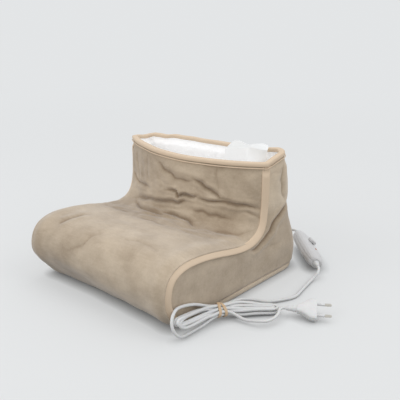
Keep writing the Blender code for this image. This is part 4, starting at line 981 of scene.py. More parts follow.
def moulded_plastic_group():
    """Moulded plastic or vinyl: a faint grain, soft handling marks and uneven gloss."""
    tree, enter, leave = new_group(
        "Moulded Plastic", colour=(1, 1, 1, 1), grain_size=0.8 * MM, gloss=0.4, handling=0.2,
    )
    place = add_node(tree, "ShaderNodeTexCoord")
    scale = maths(tree, "DIVIDE", 1.0, (enter, "Grain Size"))
    grain = noise_node(tree, (place, "Object"), 900.0, 2.0, 0.5)
    tree.links.new(scale.outputs[0], grain.inputs["Scale"])
    marks = noise_node(tree, (place, "Object"), 75.0, 5.0, 0.65)
    soft = ramp_node(tree, (marks, "Fac"), 0.45, 0.75)
    share = maths(tree, "MULTIPLY", (soft, "Result"), (enter, "Handling"))
    darker = darkened(tree, enter, 0.8, 1.25)
    colour = mix_colour(tree, (share, 0), (enter, "Colour"), (darker, "Color"))
    rough = maths(tree, "MULTIPLY_ADD", (soft, "Result"), 0.14, (enter, "Gloss"))
    leave_with(tree, leave, colour=(colour, 2), roughness=(rough, 0), height=(grain, "Fac"))
    return tree


GROUPS = {
    "Brushed Nap": brushed_nap_group,
    "Woven Tape": woven_tape_group,
    "Plush Pile": plush_pile_group,
    "Moulded Plastic": moulded_plastic_group,
}


def finish_from(name, group, values, bump, distance, **shader_values):
    """A material whose colour, roughness and bump come from a node group."""
    made = bpy.data.materials.get(name)
    if made is not None:
        return made
    made = bpy.data.materials.new(name)
    made.use_nodes = True
    tree = made.node_tree
    shader = tree.nodes["Principled BSDF"]
    effect = tree.nodes.new("ShaderNodeGroup")
    effect.node_tree = bpy.data.node_groups.get(group) or GROUPS[group]()
    for label, value in values.items():
        effect.inputs[label].default_value = value
    relief = tree.nodes.new("ShaderNodeBump")
    relief.inputs["Strength"].default_value = bump
    relief.inputs["Distance"].default_value = distance
    tree.links.new(effect.outputs["Colour"], shader.inputs["Base Color"])
    tree.links.new(effect.outputs["Roughness"], shader.inputs["Roughness"])
    tree.links.new(effect.outputs["Height"], relief.inputs["Height"])
    tree.links.new(relief.outputs["Normal"], shader.inputs["Normal"])
    for label, value in shader_values.items():
        shader.inputs[label.replace("_", " ").title().replace("Ior", "IOR")].default_value = value
    return made


def rgba(colour):
    return (*colour, 1)


def suede():
    colours = finishes()
    made = bpy.data.materials.get("brushed suede")
    if made is None:
        made = finish_from(
            "brushed suede", "Brushed Nap",
            {"Colour": rgba(colours.suede), "Shade": rgba(colours.suede_shade), "Patch Size": 0.03,
             "Contrast": 0.2},
            0.35, 0.5 * MM, sheen_weight=0.35, sheen_roughness=0.6, specular_ior_level=0.12,
        )
        tree = made.node_tree
        # The nap attribute brings each cover's nap patches, and its painted shade and light, into the colour.
        brushed = add_node(tree, "ShaderNodeAttribute", attribute_name="nap")
        effect = next(node for node in tree.nodes if node.type == "GROUP")
        tree.links.new(brushed.outputs["Fac"], effect.inputs["Nap"])
    return made


def cream_tape():
    return finish_from(
        "cream bias tape", "Woven Tape",
        {"Colour": rgba(finishes().tape), "Thread Pitch": 0.7 * MM, "Wear": 0.35},
        0.4, 0.15 * MM, sheen_weight=0.1, sheen_roughness=0.5, specular_ior_level=0.2,
    )


def white_plush():
    return finish_from(
        "white plush", "Plush Pile",
        {"Colour": rgba(finishes().plush), "Tuft Size": 4 * MM, "Shade": 0.12},
        0.45, 0.8 * MM, sheen_weight=0.5, sheen_roughness=0.7, specular_ior_level=0.05,
        # A faint glow of its own paints light into the plush.
        emission_color=(1, 0.99, 0.98, 1), emission_strength=0.12,
    )


def label_tape():
    return finish_from(
        "label tape", "Woven Tape",
        {"Colour": (0.86, 0.86, 0.85, 1), "Thread Pitch": 0.35 * MM, "Wear": 0.1},
        0.25, 0.05 * MM, sheen_weight=0.05, sheen_roughness=0.4, specular_ior_level=0.4,
        # A faint glow of its own paints light onto the label.
        emission_color=(0.86, 0.87, 0.87, 1), emission_strength=0.12,
    )


def white_vinyl():
    return finish_from(
        "white vinyl", "Moulded Plastic",
        {"Colour": rgba(finishes().vinyl), "Grain Size": 0.6 * MM, "Gloss": 0.36, "Handling": 0.25},
        0.12, 0.05 * MM, specular_ior_level=0.45, subsurface_weight=0.04,
    )


def white_shell():
    return finish_from(
        "white shell", "Moulded Plastic",
        {"Colour": rgba(finishes().shell), "Grain Size": 0.45 * MM, "Gloss": 0.28, "Handling": 0.2},
        0.1, 0.05 * MM, specular_ior_level=0.5,
    )


def tan_rubber():
    return finish_from(
        "tan rubber", "Moulded Plastic",
        {"Colour": rgba(finishes().band), "Grain Size": 1.2 * MM, "Gloss": 0.5, "Handling": 0.6},
        0.3, 0.1 * MM, specular_ior_level=0.4,
    )


def nickel():
    return finish_from(
        "nickel", "Moulded Plastic",
        {"Colour": (0.66, 0.63, 0.57, 1), "Grain Size": 0.3 * MM, "Gloss": 0.2, "Handling": 0.3},
        0.08, 0.05 * MM, metallic=1.0,
    )


def grey_foam():
    return finish_from(
        "grey foam", "Plush Pile",
        {"Colour": (0.42, 0.42, 0.43, 1), "Tuft Size": 1.5 * MM, "Shade": 0.5},
        0.6, 0.4 * MM, specular_ior_level=0.1,
    )


def cream_felt():
    return finish_from(
        "cream felt", "Brushed Nap",
        {"Colour": (0.72, 0.67, 0.57, 1), "Shade": (0.6, 0.55, 0.45, 1), "Patch Size": 0.012,
         "Contrast": 0.4},
        0.5, 0.4 * MM, specular_ior_level=0.1,
    )


def circuit_green():
    return finish_from(
        "circuit board", "Moulded Plastic",
        {"Colour": (0.05, 0.2, 0.1, 1), "Grain Size": 1.0 * MM, "Gloss": 0.3, "Handling": 0.3},
        0.2, 0.05 * MM, coat_weight=0.4,
    )


def switch_black():
    return finish_from(
        "switch black", "Moulded Plastic",
        {"Colour": (0.03, 0.03, 0.03, 1), "Grain Size": 0.5 * MM, "Gloss": 0.45, "Handling": 0.2},
        0.15, 0.05 * MM,
    )


def lamp_lens():
    return finish_from(
        "lamp lens", "Moulded Plastic",
        {"Colour": (0.7, 0.22, 0.08, 1), "Grain Size": 0.5 * MM, "Gloss": 0.15, "Handling": 0.1},
        0.05, 0.05 * MM, transmission_weight=0.3, coat_weight=0.5,
    )


NODE_FINISHES = {
    "sole_foam": grey_foam,
    "heating_felt": cream_felt,
    "heating_wire": nickel,
    "overheat_thermostat": white_shell,
    "thermal_fuse": nickel,
    "wire_joint_block": white_shell,
    "lead_inner_end": white_vinyl,
    "cord_gland": white_vinyl,
    "controller_upper_shell": white_shell,
    "controller_lower_shell": white_shell,
    "controller_relief_lead": white_vinyl,
    "controller_relief_mains": white_vinyl,
    "controller_board": circuit_green,
    "heat_switch": switch_black,
    "indicator_lamp": lamp_lens,
    "controller_screw_1": nickel,
    "controller_screw_2": nickel,
    "heat_knob": white_shell,
    "plug_body": white_vinyl,
    "plug_relief": white_vinyl,
    "plug_pin_1": nickel,
    "plug_pin_2": nickel,
    "pin_sleeve_1": white_vinyl,
    "pin_sleeve_2": white_vinyl,
}


# ---- Covers ----


# along the front, the stretch where the grid is finest
ANKLE_LOW, ANKLE_HIGH = 232 * MM, 334 * MM
# each zone: where it starts, how softly, where it ends, how softly
ANKLE_ZONE = (0.215, 0.03, 0.345, 0.045)
# the instep, darkened both for its nap and as painted shade in its hollow
INSTEP_NAP_AND_SHADE_ZONE = (0.20, 0.05, 0.31, 0.05)
# how far in from a seam a cover is held down
FRONT_SEWN = 0.014
SIDE_SEWN = 0.012
BACK_HALF = 0.12
# the place on the seam line whose row runs to the heel's lower corner
TURN_PLACE = 11.6


def zone(value, low, soft_low, high, soft_high):
    """1 inside the zone, easing to 0 at both of its ends."""
    return ease((value - low) / soft_low) * ease((high - value) / soft_high)


def front_cover():
    """The suede cover from the floor over the toe and up the front of the shaft."""
    grid = boot_settings().grid
    top = run_of(front_place_below_rim(WALL_TOP))
    us = steps_between(-HALF, HALF, grid)
    vs = steps_between(0, ANKLE_LOW, grid * 1.3)[:-1]
    vs += steps_between(ANKLE_LOW, ANKLE_HIGH, grid * 0.5)[:-1] + steps_between(ANKLE_HIGH, top, grid)
    swell = boot_settings().seam_swell

    def height(u, v):
        away = HALF - abs(u)
        below = top - v - UNDER_TAPE
        ankle = zone(v, *ANKLE_ZONE)
        rise = crease_height(u, v, FRONT_CREASES) + slump_height(u, v, 3.0) * ease(v / 0.05)
        rise += puff_height(u, v, 8.0) * (0.16 + 0.84 * ankle) * ease(v / 0.05)
        sewn = min(ease(away / FRONT_SEWN), ease(below / FRONT_SEWN))
        pillow = math.exp(-(((away - 0.016) / 0.012) ** 2)) * ease(v / 0.03) * ease(below / 0.02)
        return sewn_height(rise, sewn, 0.2, swell * pillow)

    def reach(place):
        return (HALF - SETBACK + TAPE_LAP + 0.5 * along_list(TAPE_SHIFT, place)) / HALF

    def outer(i, j):
        place = place_of(vs[i])
        return front_point(place, us[j] * reach(place), -height(us[j], vs[i]))

    def inner(i, j):
        place = place_of(vs[i])
        return front_point(place, us[j] * reach(place), PANEL)

    def nap(i, j):
        # How dark the suede's colour is: a base share, the instep darker both for its nap and as painted
        # shade in its hollow, darker over the left of the toe top and of the shaft front, painted shade along
        # the creases, and the nap's own patches.
        u, v = us[j], vs[i]
        instep_nap_and_shade = zone(v, *INSTEP_NAP_AND_SHADE_ZONE) * ease((HALF - abs(u)) / 0.05)
        left_toe = ease((-0.02 - u) / 0.05) * ease((0.2 - v) / 0.05)
        left_shaft = ease((-0.01 - u) / 0.04) * ease((v - 0.3) / 0.02)
        broad = NAP + 0.24 * instep_nap_and_shade + 0.14 * left_toe + 0.16 * left_shaft
        return broad + painted_crease_shade(u, v, FRONT_CREASES) + nap_patches(u, v, 1.0)

    mesh = sheet_mesh("front_cover", us, vs, outer, inner, nap)
    cover = add_piece("front_cover", mesh, suede(), BOOT, ("top_panel",))


def lowest_place(inset, height):
    """The first place on the seam line, in steps of 0.05, that stands this high."""
    place = 0.0
    while seam_inset(place, inset)[1] < height:
        place += 0.05
    return place


def side_grid(inset, foot, top_gap, seam_gap, step):
    """Rows of (along, up) points on a side pattern: each row runs from the front seam to the back or foot."""
    lower, last = lowest_place(inset, foot * 0.45), front_place_below_rim(top_gap)
    heel = (seam_reach(foot) - seam_gap, foot)
    rows = []
    runs = run_lengths([Vector((*seam_inset(blend(lower, last, k / 400), inset), 0)) for k in range(401)])
    count = max(int(runs[-1] / step), 12)
    places = []
    k = 0
    for n in range(count + 1):
        target = runs[-1] * n / count
        while k < 399 and runs[k + 1] < target:
            k += 1
        places.append(blend(lower, last, (k + (target - runs[k]) / (runs[k + 1] - runs[k])) / 400))
    for place in places:
        start = seam_inset(place, inset)
        if place < TURN_PLACE:
            done = (place - lower) / (TURN_PLACE - lower)
            share = ease(done) * 0.35 + done * 0.65
            end = (blend(TRAY_FRONT, heel[0], share), foot)
        else:
            share = (place - TURN_PLACE) / (last - TURN_PLACE)
            z = blend(foot, BACK_HEIGHT - top_gap, share)
            end = (seam_reach(z) - seam_gap, z)
        rows.append((start, end))
    return rows


def side_cover(side, word, creases):
    grid = boot_settings().grid
    rows = side_grid(SETBACK, WALL_FOOT, WALL_TOP, CLEARANCE / 2, grid)
    columns = 120

    def flat(i, j):
        (y0, z0), (y1, z1) = rows[i]
        share = j / columns
        return blend(y0, y1, share), blend(z0, z1, share)

    def height(i, j):
        y, z = flat(i, j)
        (y0, z0), (y1, z1) = rows[i]
        long = math.hypot(y1 - y0, z1 - z0)
        away = min(long * j / columns, long * (1 - j / columns), rim_z(y) - WALL_TOP - UNDER_TAPE - z)
        sewn = ease(away / SIDE_SEWN)
        rise = crease_height(y, z, creases) + slump_height(y, z, 11.0 + side) * 0.8
        return sewn_height(rise, sewn, 0.15)

    def outer(i, j):
        y, z = flat(i, j)
        return side_point(side, y, z, -height(i, j))

    def inner(i, j):
        y, z = flat(i, j)
        return side_point(side, y, z, PANEL)

    def nap(i, j):
        y, z = flat(i, j)
        # Painted light: the side covers are made lighter above 105 mm, as if lit from the side. Painted shade
        # darkens the creases, and the nap's own patches vary the rest.
        broad = NAP - 0.3 * ease((z - 0.105) / 0.02)
        return broad + painted_crease_shade(y, z, creases) + nap_patches(y, z, 4.0 + side)

    us = [j / columns * 0.2 for j in range(columns + 1)]
    vs = [i * grid for i in range(len(rows))]
    name = "side_cover_" + word
    mesh = sheet_mesh(name, us, vs, outer, inner, nap)
    cover = add_piece(name, mesh, suede(), BOOT, ("side_panel_" + word,))


def back_cover():
    grid = boot_settings().grid
    top = BACK_HEIGHT - WALL_TOP
    vs = steps_between(WALL_FOOT, top, grid)
    us = steps_between(-BACK_HALF, BACK_HALF, grid)
    wide = us[-1]
    hole = GLAND_X, FELT_Z + CORD / 2

    def height(u, v):
        away = min(wide - abs(u), v - WALL_FOOT, top - UNDER_TAPE - v)
        sewn = ease(away / SIDE_SEWN)
        rise = crease_height(u, v, BACK_CREASES) + slump_height(u, v, 21.0)
        near = math.hypot(u - hole[0], v - hole[1])
        sewn *= ease((near - 0.008) / 0.02)
        return sewn_height(rise, sewn, 0.15)

    def outer(i, j):
        return back_point(us[j] / wide, vs[i], -height(us[j], vs[i]))

    def inner(i, j):
        return back_point(us[j] / wide, vs[i], PANEL)

    def nap(i, j):
        # The base share, painted shade along the creases, and the nap's own patches.
        return NAP + painted_crease_shade(us[j], vs[i], BACK_CREASES) + nap_patches(us[j], vs[i], 9.0)

    mesh = sheet_mesh("back_cover", us, vs, outer, inner, nap)
    cover = add_piece("back_cover", mesh, suede(), BOOT, ("back_panel",))


def plan_outline(z, depth, front, corner_steps=10):
    left = []
    start, radius = corner_start(z), corner_radius(z)
    for k in range(corner_steps + 1):
        left.append(side_point(-1, start + radius * math.pi / 2 * k / corner_steps, z, depth))
    points = [Vector((-HALF + depth, front, z))] + left
    return points + [Vector((-p.x, p.y, p.z)) for p in reversed(points)]


def sole_cover():
    """The shallow tray of sole fabric, with a rolled lower edge."""
    low = TRAY_ROLL * 0.8
    rings = []
    profile = [(0, low)]
    for k in range(1, 6):
        turn = math.pi / 2 * k / 5
        profile.append((TRAY_ROLL * (1 - math.cos(turn)), low * (1 - math.sin(turn))))
    profile += [(TRAY_RIM - CLEARANCE, 0), (TRAY_RIM, CLEARANCE)]
    profile += [(TRAY_RIM, TRAY_FLOOR), (TRAY_ROLL, TRAY_FLOOR), (TRAY_FLOOR, TRAY_FLOOR + low * 0.3)]
    for z, depth in profile:
        ring = plan_outline(TRAY_RIM, depth, TRAY_FRONT + depth)
        rings.append([Vector((p.x, p.y, z)) for p in ring])
    lengths = run_lengths([ring[0] for ring in rings])
    mesh = swept_mesh("sole_cover", rings, lengths)
    cover = add_piece("sole_cover", mesh, suede(), BOOT, ("sole_outer",))


# ---- Tapes ----


def side_tape(side, word):
    """Bias tape folded over a side seam, a little uneven along its edges."""
    wide = boot_settings().tape_width
    first, last = lowest_place(0, BINDING_LIFT), front_place_below_rim(RIM_COVER - 1.5 * MM)
    count, sides = 150, 18
    sections, line = [], []
    for i in range(count + 1):
        place = blend(first, last, i / count)
        y, z = seam_inset(place, 0)
        y_in, z_in = seam_inset(place, 1)
        out = Vector((0, y - y_in, z - z_in)).normalized()
        diagonal = (Vector((side, 0, 0)) + out).normalized()
        along = (Vector((side, 0, 0)) - out).normalized()
        swell = 1 + 0.05 * noise_at(side * 9, i * 0.11, 2.0)
        centre = Vector((side * HALF, y, z)) - diagonal * BINDING_SINK
        centre += along.lerp(-out, 0.5) * along_list(TAPE_SHIFT, place)
        flat = ease((i / count - 0.955) / 0.02)
        centre -= diagonal * 1.3 * MM * flat
        line.append(centre)
        sections.append(oval_ring(
            centre, along * wide / 2 * swell, diagonal * BINDING_THICK / 2 * (1 - 0.6 * flat),
            (0.8, 0.75), sides,
        ))
    name = "side_tape_" + word
    mesh = swept_mesh(name, sections, run_lengths(line))
    add_piece(name, mesh, cream_tape(), BOOT, ("side_binding_" + word,))


def rim_stations(fine):
    """Functions of (drop, depth) at places round the collar, from the front middle to the right and on."""
    def front(x):
        return lambda drop, depth: front_point(front_place_below_rim(drop), x, depth)

    def side(way, reach):
        return lambda drop, depth: side_point(way, reach, rim_z(reach) - drop, depth)

    def back(share):
        return lambda drop, depth: back_point(share, BACK_HEIGHT - drop, depth)

    def corner(way):
        def at(drop, depth):
            place = front_place_below_rim(drop)
            point = front_surface(place, way * HALF)
            slope = front_point(place, way * HALF, 1) - point
            inward = (slope.normalized() + Vector((-way, 0, 0))).normalized()
            mitre = 1 / max(inward.dot(Vector((-way, 0, 0))), 0.5)
            return point + Vector((inward.x, inward.y, 0)) * depth * mitre
        return at

    steps = 8 * fine
    reach_front = HALF - RIM_CORNER
    half_front = [front(reach_front * k / steps) for k in range(steps + 1)]
    start = TOE_Y + SEAM_SHARES[-1][0] * LENGTH + RIM_CORNER + CLEARANCE * 3
    end = seam_reach(BACK_HEIGHT)
    bend = corner_start(BACK_HEIGHT)
    straight = 2 * fine
    reaches = [blend(start, bend, k / straight) for k in range(straight)]
    reaches += [blend(bend, end, k / (3 * fine)) for k in range(3 * fine)]
    right = [side(1, r) for r in reaches]
    left = [side(-1, r) for r in reversed(reaches)]
    rear = [back(1 - 2 * k / (8 * fine)) for k in range(8 * fine + 1)]
    mirrored = [front(-reach_front * k / steps) for k in range(steps, 0, -1)]
    return half_front + [corner(1)] + right + rear + left + [corner(-1)] + mirrored


def rim_tape():
    """Bias tape folded over the collar's edge, and the thin piping below it."""
    wall = LINING_DEPTH + PLUSH_AT_RIM + CLEARANCE
    outside, inside = -CLEARANCE - RIM_TAPE, wall + CLEARANCE + RIM_TAPE
    crown = 3.4 * MM
    section = [(RIM_COVER, outside + 0.4 * MM), (RIM_COVER - 0.6 * MM, outside), (crown, outside)]
    middle = (outside + inside) / 2
    reach = (inside - outside) / 2
    for k in range(1, 10):
        turn = math.pi * k / 10
        c, s = math.cos(turn), math.sin(turn)
        section.append((crown * (1 - s ** 0.8), middle - reach * squared(c, 0.7)))
    section += [(crown, inside), (RIM_COVER - 0.6 * MM, inside), (RIM_COVER, inside - 0.4 * MM)]
    section += [(RIM_COVER, wall + CLEARANCE), (RIM_TAPE, wall + CLEARANCE)]
    section += [(RIM_TAPE, -CLEARANCE), (RIM_COVER, -CLEARANCE)]
    stations = rim_stations(4)
    sections = []
    for n, at in enumerate(stations):
        wave = 0.35 * MM * noise_at(n * 0.21, 4.0, 1.0)
        sections.append([
            at(drop + wave * ease((drop - crown) / RIM_COVER), depth) for drop, depth in section
        ])
    lengths = run_lengths([ring[5] for ring in sections])
    mesh = swept_mesh("rim_tape", sections, lengths, closed=True)
    add_piece("rim_tape", mesh, cream_tape(), BOOT, ("rim_binding",))

    drop, depth = RIM_COVER + PIPING_DROP, -PIPING / 2 - CLEARANCE
    rings = []
    for at in stations:
        ring = []
        for k in range(8):
            turn = math.tau * k / 8
            ring.append(at(drop + PIPING / 2 * math.sin(turn), depth + PIPING / 2 * math.cos(turn)))
        rings.append(ring)
    mesh = swept_mesh("rim_cord", rings, run_lengths([ring[0] for ring in rings]), closed=True)
    add_piece("rim_cord", mesh, cream_tape(), BOOT, ("rim_piping",))


# ---- Plush ----


def tuft_height(point, seed):
    """Unevenness of the pile at a point."""
    fine = noise.noise(Vector((point.x, point.y, point.z)) / 0.0042 + Vector((seed, 0, 0)))
    broad = noise.noise(Vector((point.x, point.y, point.z)) / 0.016 + Vector((0, seed, 0)))
    return boot_settings().tuft * (0.6 * fine + 0.5 * broad)


def plush_sheet(name, us, vs, at, thick, nodes):
    """A plush sheet: at(row, column, depth) gives a point, and thick its pile depth at a row and column."""
    def outer(i, j):
        return at(i, j, LINING_DEPTH)

    def inner(i, j):
        depth = thick(i, j)
        edge = min(i, j, len(vs) - 1 - i, len(us) - 1 - j)
        base = at(i, j, depth)
        rise = tuft_height(base, 2.0) * min(edge / 3, 1)
        return at(i, j, depth + min(rise, depth * 0.3))

    mesh = sheet_mesh(name, us, vs, outer, inner)
    piece = add_piece(name, mesh, white_plush(), BOOT, nodes, smooth=80)


def lining():
    step = 2.2 * MM
    half = HALF - LINING_DEPTH - PLUSH - CLEARANCE
    low_run = run_of(1.9)
    top = run_of(front_place_below_rim(WALL_TOP))
    us = steps_between(-half, half, step * 1.3)
    vs = steps_between(low_run, top, step * 1.3)
    plush_sheet(
        "plush_front", us, vs, lambda i, j, depth: front_point(place_of(vs[i]), us[j], depth),
        lambda i, j: plush_depth(top - vs[i]), ("lining_top",),
    )

    wall_top = BACK_HEIGHT - WALL_TOP
    back_us = steps_between(-BACK_HALF, BACK_HALF, step)
    back_vs = steps_between(LINING_FOOT, wall_top, step)
    wide = back_us[-1]
    plush_sheet(
        "plush_back", back_us, back_vs, lambda i, j, depth: back_point(back_us[j] / wide, back_vs[i], depth),
        lambda i, j: plush_depth(wall_top - back_vs[i]), ("lining_back",),
    )

    inset = PANEL * 1.7 + CLEARANCE
    rows = side_grid(inset, LINING_FOOT, WALL_TOP, CLEARANCE / 2, step * 1.4)
    columns = 56
    side_us = [j / columns * 0.2 for j in range(columns + 1)]
    side_vs = [i * step * 1.4 for i in range(len(rows))]

    def flat(i, j):
        (y0, z0), (y1, z1) = rows[i]
        return blend(y0, y1, j / columns), blend(z0, z1, j / columns)

    for side, word in ((-1, "left"), (1, "right")):
        plush_sheet(
            "plush_side_" + word, side_us, side_vs,
            lambda i, j, depth, side=side: side_point(side, *flat(i, j), depth),
            lambda i, j: plush_depth(rim_z(flat(i, j)[0]) - WALL_TOP - flat(i, j)[1]),
            ("lining_side_" + word,),
        )

    depth = PANEL + CLEARANCE * 2
    low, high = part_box("lining_sole")
    sole_us = steps_between(low.x, high.x, step * 1.3)
    sole_vs = steps_between(low.y, high.y, step * 1.3)

    def sole_at(i, j, z):
        y = sole_vs[i]
        start, radius = corner_start(TRAY_RIM), corner_radius(TRAY_RIM)
        reach = HALF - depth
        if y > start:
            reach = HALF - radius + math.sqrt(max((radius - depth) ** 2 - (y - start) ** 2, 0))
        return Vector((sole_us[j] / high.x * reach, y, z))

    def sole_top(i, j):
        edge = min(i, j, len(sole_vs) - 1 - i, len(sole_us) - 1 - j)
        point = sole_at(i, j, high.z)
        return point + Vector((0, 0, (tuft_height(point, 5.0) - 0.8 * MM) * min(edge / 3, 1)))

    mesh = sheet_mesh("plush_sole", sole_us, sole_vs, sole_top, lambda i, j: sole_at(i, j, low.z))
    piece = add_piece("plush_sole", mesh, white_plush(), BOOT, ("lining_sole",), smooth=80)


def care_label():
    """A blank ribbon that stands behind the rim, bends back on itself and ends inside the collar."""
    line = [Vector(p) * MM for p in LABEL_LINE]
    path = [Vector(smooth_at(line, k / 6)) for k in range(6 * (len(line) - 1) + 1)]
    lengths = run_lengths([Vector((p.x, p.y, 0)) for p in path])
    rows = 14
    tall = LABEL_TALL
    vs = [tall * (i / rows - 1) for i in range(rows + 1)]

    def at(i, j, off):
        before, after = path[max(j - 1, 0)], path[min(j + 1, len(path) - 1)]
        way = Vector((after.x - before.x, after.y - before.y, 0)).normalized()
        face = Vector((-way.y, way.x, 0))
        bow = -1.6 * MM * math.sin(math.pi * i / rows) * ease((path[j].x - 88 * MM) / (14 * MM))
        point = path[j] + face * (off + bow)
        return Vector((point.x, point.y, path[j].z + vs[i]))

    mesh = sheet_mesh(
        "label_leaf", lengths, vs, lambda i, j: at(i, j, 0.2 * MM), lambda i, j: at(i, j, -0.2 * MM),
    )
    leaf = add_piece("label_leaf", mesh, label_tape(), BOOT, ("care_label",))


# ---- Cords ----


def smooth_route(start, start_way, route, end, end_way, step):
    """Points on a smooth curve that leaves and arrives square to what it meets."""
    lead = CORD
    knots = [start, start + start_way * lead, *[Vector(p) for p in route], end - end_way * lead, end]
    fine = []
    for i in range(len(knots) - 1):
        parts = max(int((knots[i + 1] - knots[i]).length / step), 1)
        for k in range(parts):
            if 0 < i < len(knots) - 2:
                fine.append(Vector(smooth_at(knots, i + k / parts)))
            else:
                fine.append(knots[i].lerp(knots[i + 1], k / parts))
    fine.append(knots[-1])
    return fine


def coil_points():
    half = COIL_TURNS / 2
    count = LOOP_POINTS * COIL_TURNS
    points = []
    for k in range(count + 1):
        turns = COIL_TURNS * k / count
        inward = half - abs(turns - half)
        layer = ease((turns - half) * 2 + 0.5)
        radius = COIL_RADIUS - STRAND_PITCH * inward
        turn = COIL_START + math.tau * turns
        z = HANK_FLOOR + CORD / 2 + STRAND_PITCH * layer
        points.append(COIL_CENTRE + Vector((radius * math.cos(turn), radius * math.sin(turn), z)))
    return points


def hank_frame(share):
    """The hank's middle line and its two cross directions, from share -1 at the toe to 1 at the plug."""
    places = (HANK_LEFT, HANK_WAIST - TIED_DROP, HANK_RIGHT)
    middle = Vector(smooth_at(places, share + 1))
    step = 0.02
    ahead = Vector(smooth_at(places, share + 1 + step)) - Vector(smooth_at(places, share + 1 - step))
    ahead.normalize()
    level = Vector((0, 0, 1)).cross(ahead).normalized()
    up = ahead.cross(level)
    if share < 0:
        twist = blend(HANK_WAIST_TWIST, HANK_LEFT_TWIST, ease(-share * 1.4))
    else:
        twist = blend(HANK_WAIST_TWIST, 0, ease(share * 1.4))
    across = level * math.cos(twist) + up * math.sin(twist)
    return middle, across, ahead.cross(across)


def hank_outline(turns):
    """The outer loop, flat: a point along and across the hank, from its tip at the plug end."""
    knots = []
    for end, reach, bulge in (
        (1, (HANK_RIGHT - HANK_WAIST).length, HANK_RIGHT_BULGE),
        (-1, (HANK_WAIST - HANK_LEFT).length, HANK_LEFT_BULGE),
    ):
        waist = STRAND_PITCH * HANK_LOOPS / 2
        side = [
            (reach, 0), (reach - bulge * (1 - HANK_ROUND), bulge * HANK_ROUND), (reach - bulge, bulge),
            (reach * HANK_NARROW, blend(waist, bulge, HANK_SPREAD)), (reach * HANK_TIED, waist), (0, waist),
        ]
        knots.append([(end * along, across) for along, across in side])
    right, left = knots
    upper = right[:-1] + list(reversed(left))
    lower = [(along, -across) for along, across in reversed(upper)]
    loop = upper[:-1] + lower[:-1]
    count = len(loop)
    ring = loop[-1:] + loop + loop[:3]
    return smooth_at(ring, 1 + (turns % 1) * count)


def hank_point(turns):
    """A point of the hank: two wide outer loops, narrow inner ones, all drawn together under the band."""
    half = HANK_LOOPS / 2
    inward = half - abs(turns - half)
    layer = ease((turns - half) * 2 + 0.5) - 0.5
    along, across = hank_outline(turns)
    reach = HANK_RIGHT - HANK_WAIST if along > 0 else HANK_WAIST - HANK_LEFT
    bulge = HANK_RIGHT_BULGE if along > 0 else HANK_LEFT_BULGE
    along *= 1 - STRAND_PITCH * inward / reach.length
    across *= 1 - STRAND_PITCH * inward / bulge
    share = along / reach.length
    open_end = ease(abs(share) / 0.35)
    outermost = 1 - ease((inward - 0.55) / 0.4)
    if turns > half and along < 0:
        across *= 1 - 0.66 * outermost * open_end
        along *= 1 - 0.09 * outermost * open_end
    elif along > 0 > across:
        across *= 1 + 0.2 * outermost * open_end
    narrow = max((STRAND_PITCH * HANK_LOOPS / 2 - STRAND_PITCH * inward) * 0.82, 3 * MM)
    rounding = narrow * (1 - 1 / math.cosh(across / narrow)) * (1 - outermost) * ease(abs(share) / 0.6)
    along -= math.copysign(rounding, along)
    share = along / reach.length
    across = blend(narrow * math.tanh(across / narrow), across, outermost)
    if along < 0:
        across += 2.4 * MM * (1 - outermost) * open_end
    lift = STRAND_PITCH * layer
    slot = min(int(turns), HANK_LOOPS - 1)
    tied_across, tied_up = TIED_UPPER[slot] if turns - slot < 0.5 else TIED_LOWER[slot]
    tied = 1 - ease((abs(share) - 0.04) / 0.36)
    across = blend(across, tied_across * TIED_PITCH, tied)
    lift = blend(lift, tied_up * TIED_PITCH, tied)
    stray = 1.1 * MM * (1 - tied)
    across += stray * noise_at(turns * 2.3, 0.4, 7.0)
    middle, level, up = hank_frame(share)
    return middle + level * across + up * lift


def rubber_band():
    """The band that ties the hank: it goes round twice and crosses itself once."""
    middle, level, up = hank_frame(0.0)
    ahead = level.cross(up)
    half_wide = TIED_PITCH * 1.5 + CORD / 2 + BAND_THICK * 0.6
    half_high = TIED_PITCH * 0.87 + CORD / 2 + BAND_THICK * 0.6
    count = 160

    def centre(k):
        share = 2 * (k % count) / count
        turn = math.tau * share - math.pi
        over = 1 + 0.09 * ease(1 - abs(share - 0.5) / 0.16)
        c, s = math.cos(turn), math.sin(turn)
        return (
            middle + ahead * BAND_SPREAD * math.cos(math.pi * share)
            + level * half_wide * over * squared(c, 0.85)
            + up * half_high * over * squared(s, 0.85)
        )

    sections, line = [], []
    for k in range(count):
        here = centre(k)
        way = (centre(k + 1) - centre(k - 1)).normalized()
        out = here - middle - ahead * (here - middle).dot(ahead)
        wide = out.cross(way).normalized()
        out = way.cross(wide)
        line.append(here)
        sections.append(oval_ring(here, wide * BAND_WIDE / 2, out * BAND_THICK / 2, (0.5, 0.5), BAND_SIDES))
    mesh = swept_mesh("rubber_band", sections, run_lengths(line), closed=True)
    band = bpy.data.objects.new("rubber_band", mesh)
    mesh.materials.append(tan_rubber())
    for polygon in mesh.polygons:
        polygon.use_smooth = True
    bpy.context.scene.collection.objects.link(band)
    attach(band, BOOT)
    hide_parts("hank_band")
    return band


def with_ends(points, reach):
    """The same points with a straight piece added at both ends, and the ways in and out."""
    way_in = (points[1] - points[0]).normalized()
    way_out = (points[-1] - points[-2]).normalized()
    grown = [points[0] - way_in * reach, *points, points[-1] + way_out * reach]
    return grown, way_in, way_out


def control_frame():
    ahead = (CONTROL_FAR - CONTROL_NEAR).normalized()
    level = Vector((0, 0, 1)).cross(ahead).normalized()
    up = ahead.cross(level)
    across = level * math.cos(CONTROL_ROLL) + up * math.sin(CONTROL_ROLL)
    turn = Matrix((ahead, across, ahead.cross(across))).transposed()
    return Matrix.Translation((CONTROL_NEAR + CONTROL_FAR) / 2) @ turn.to_4x4()


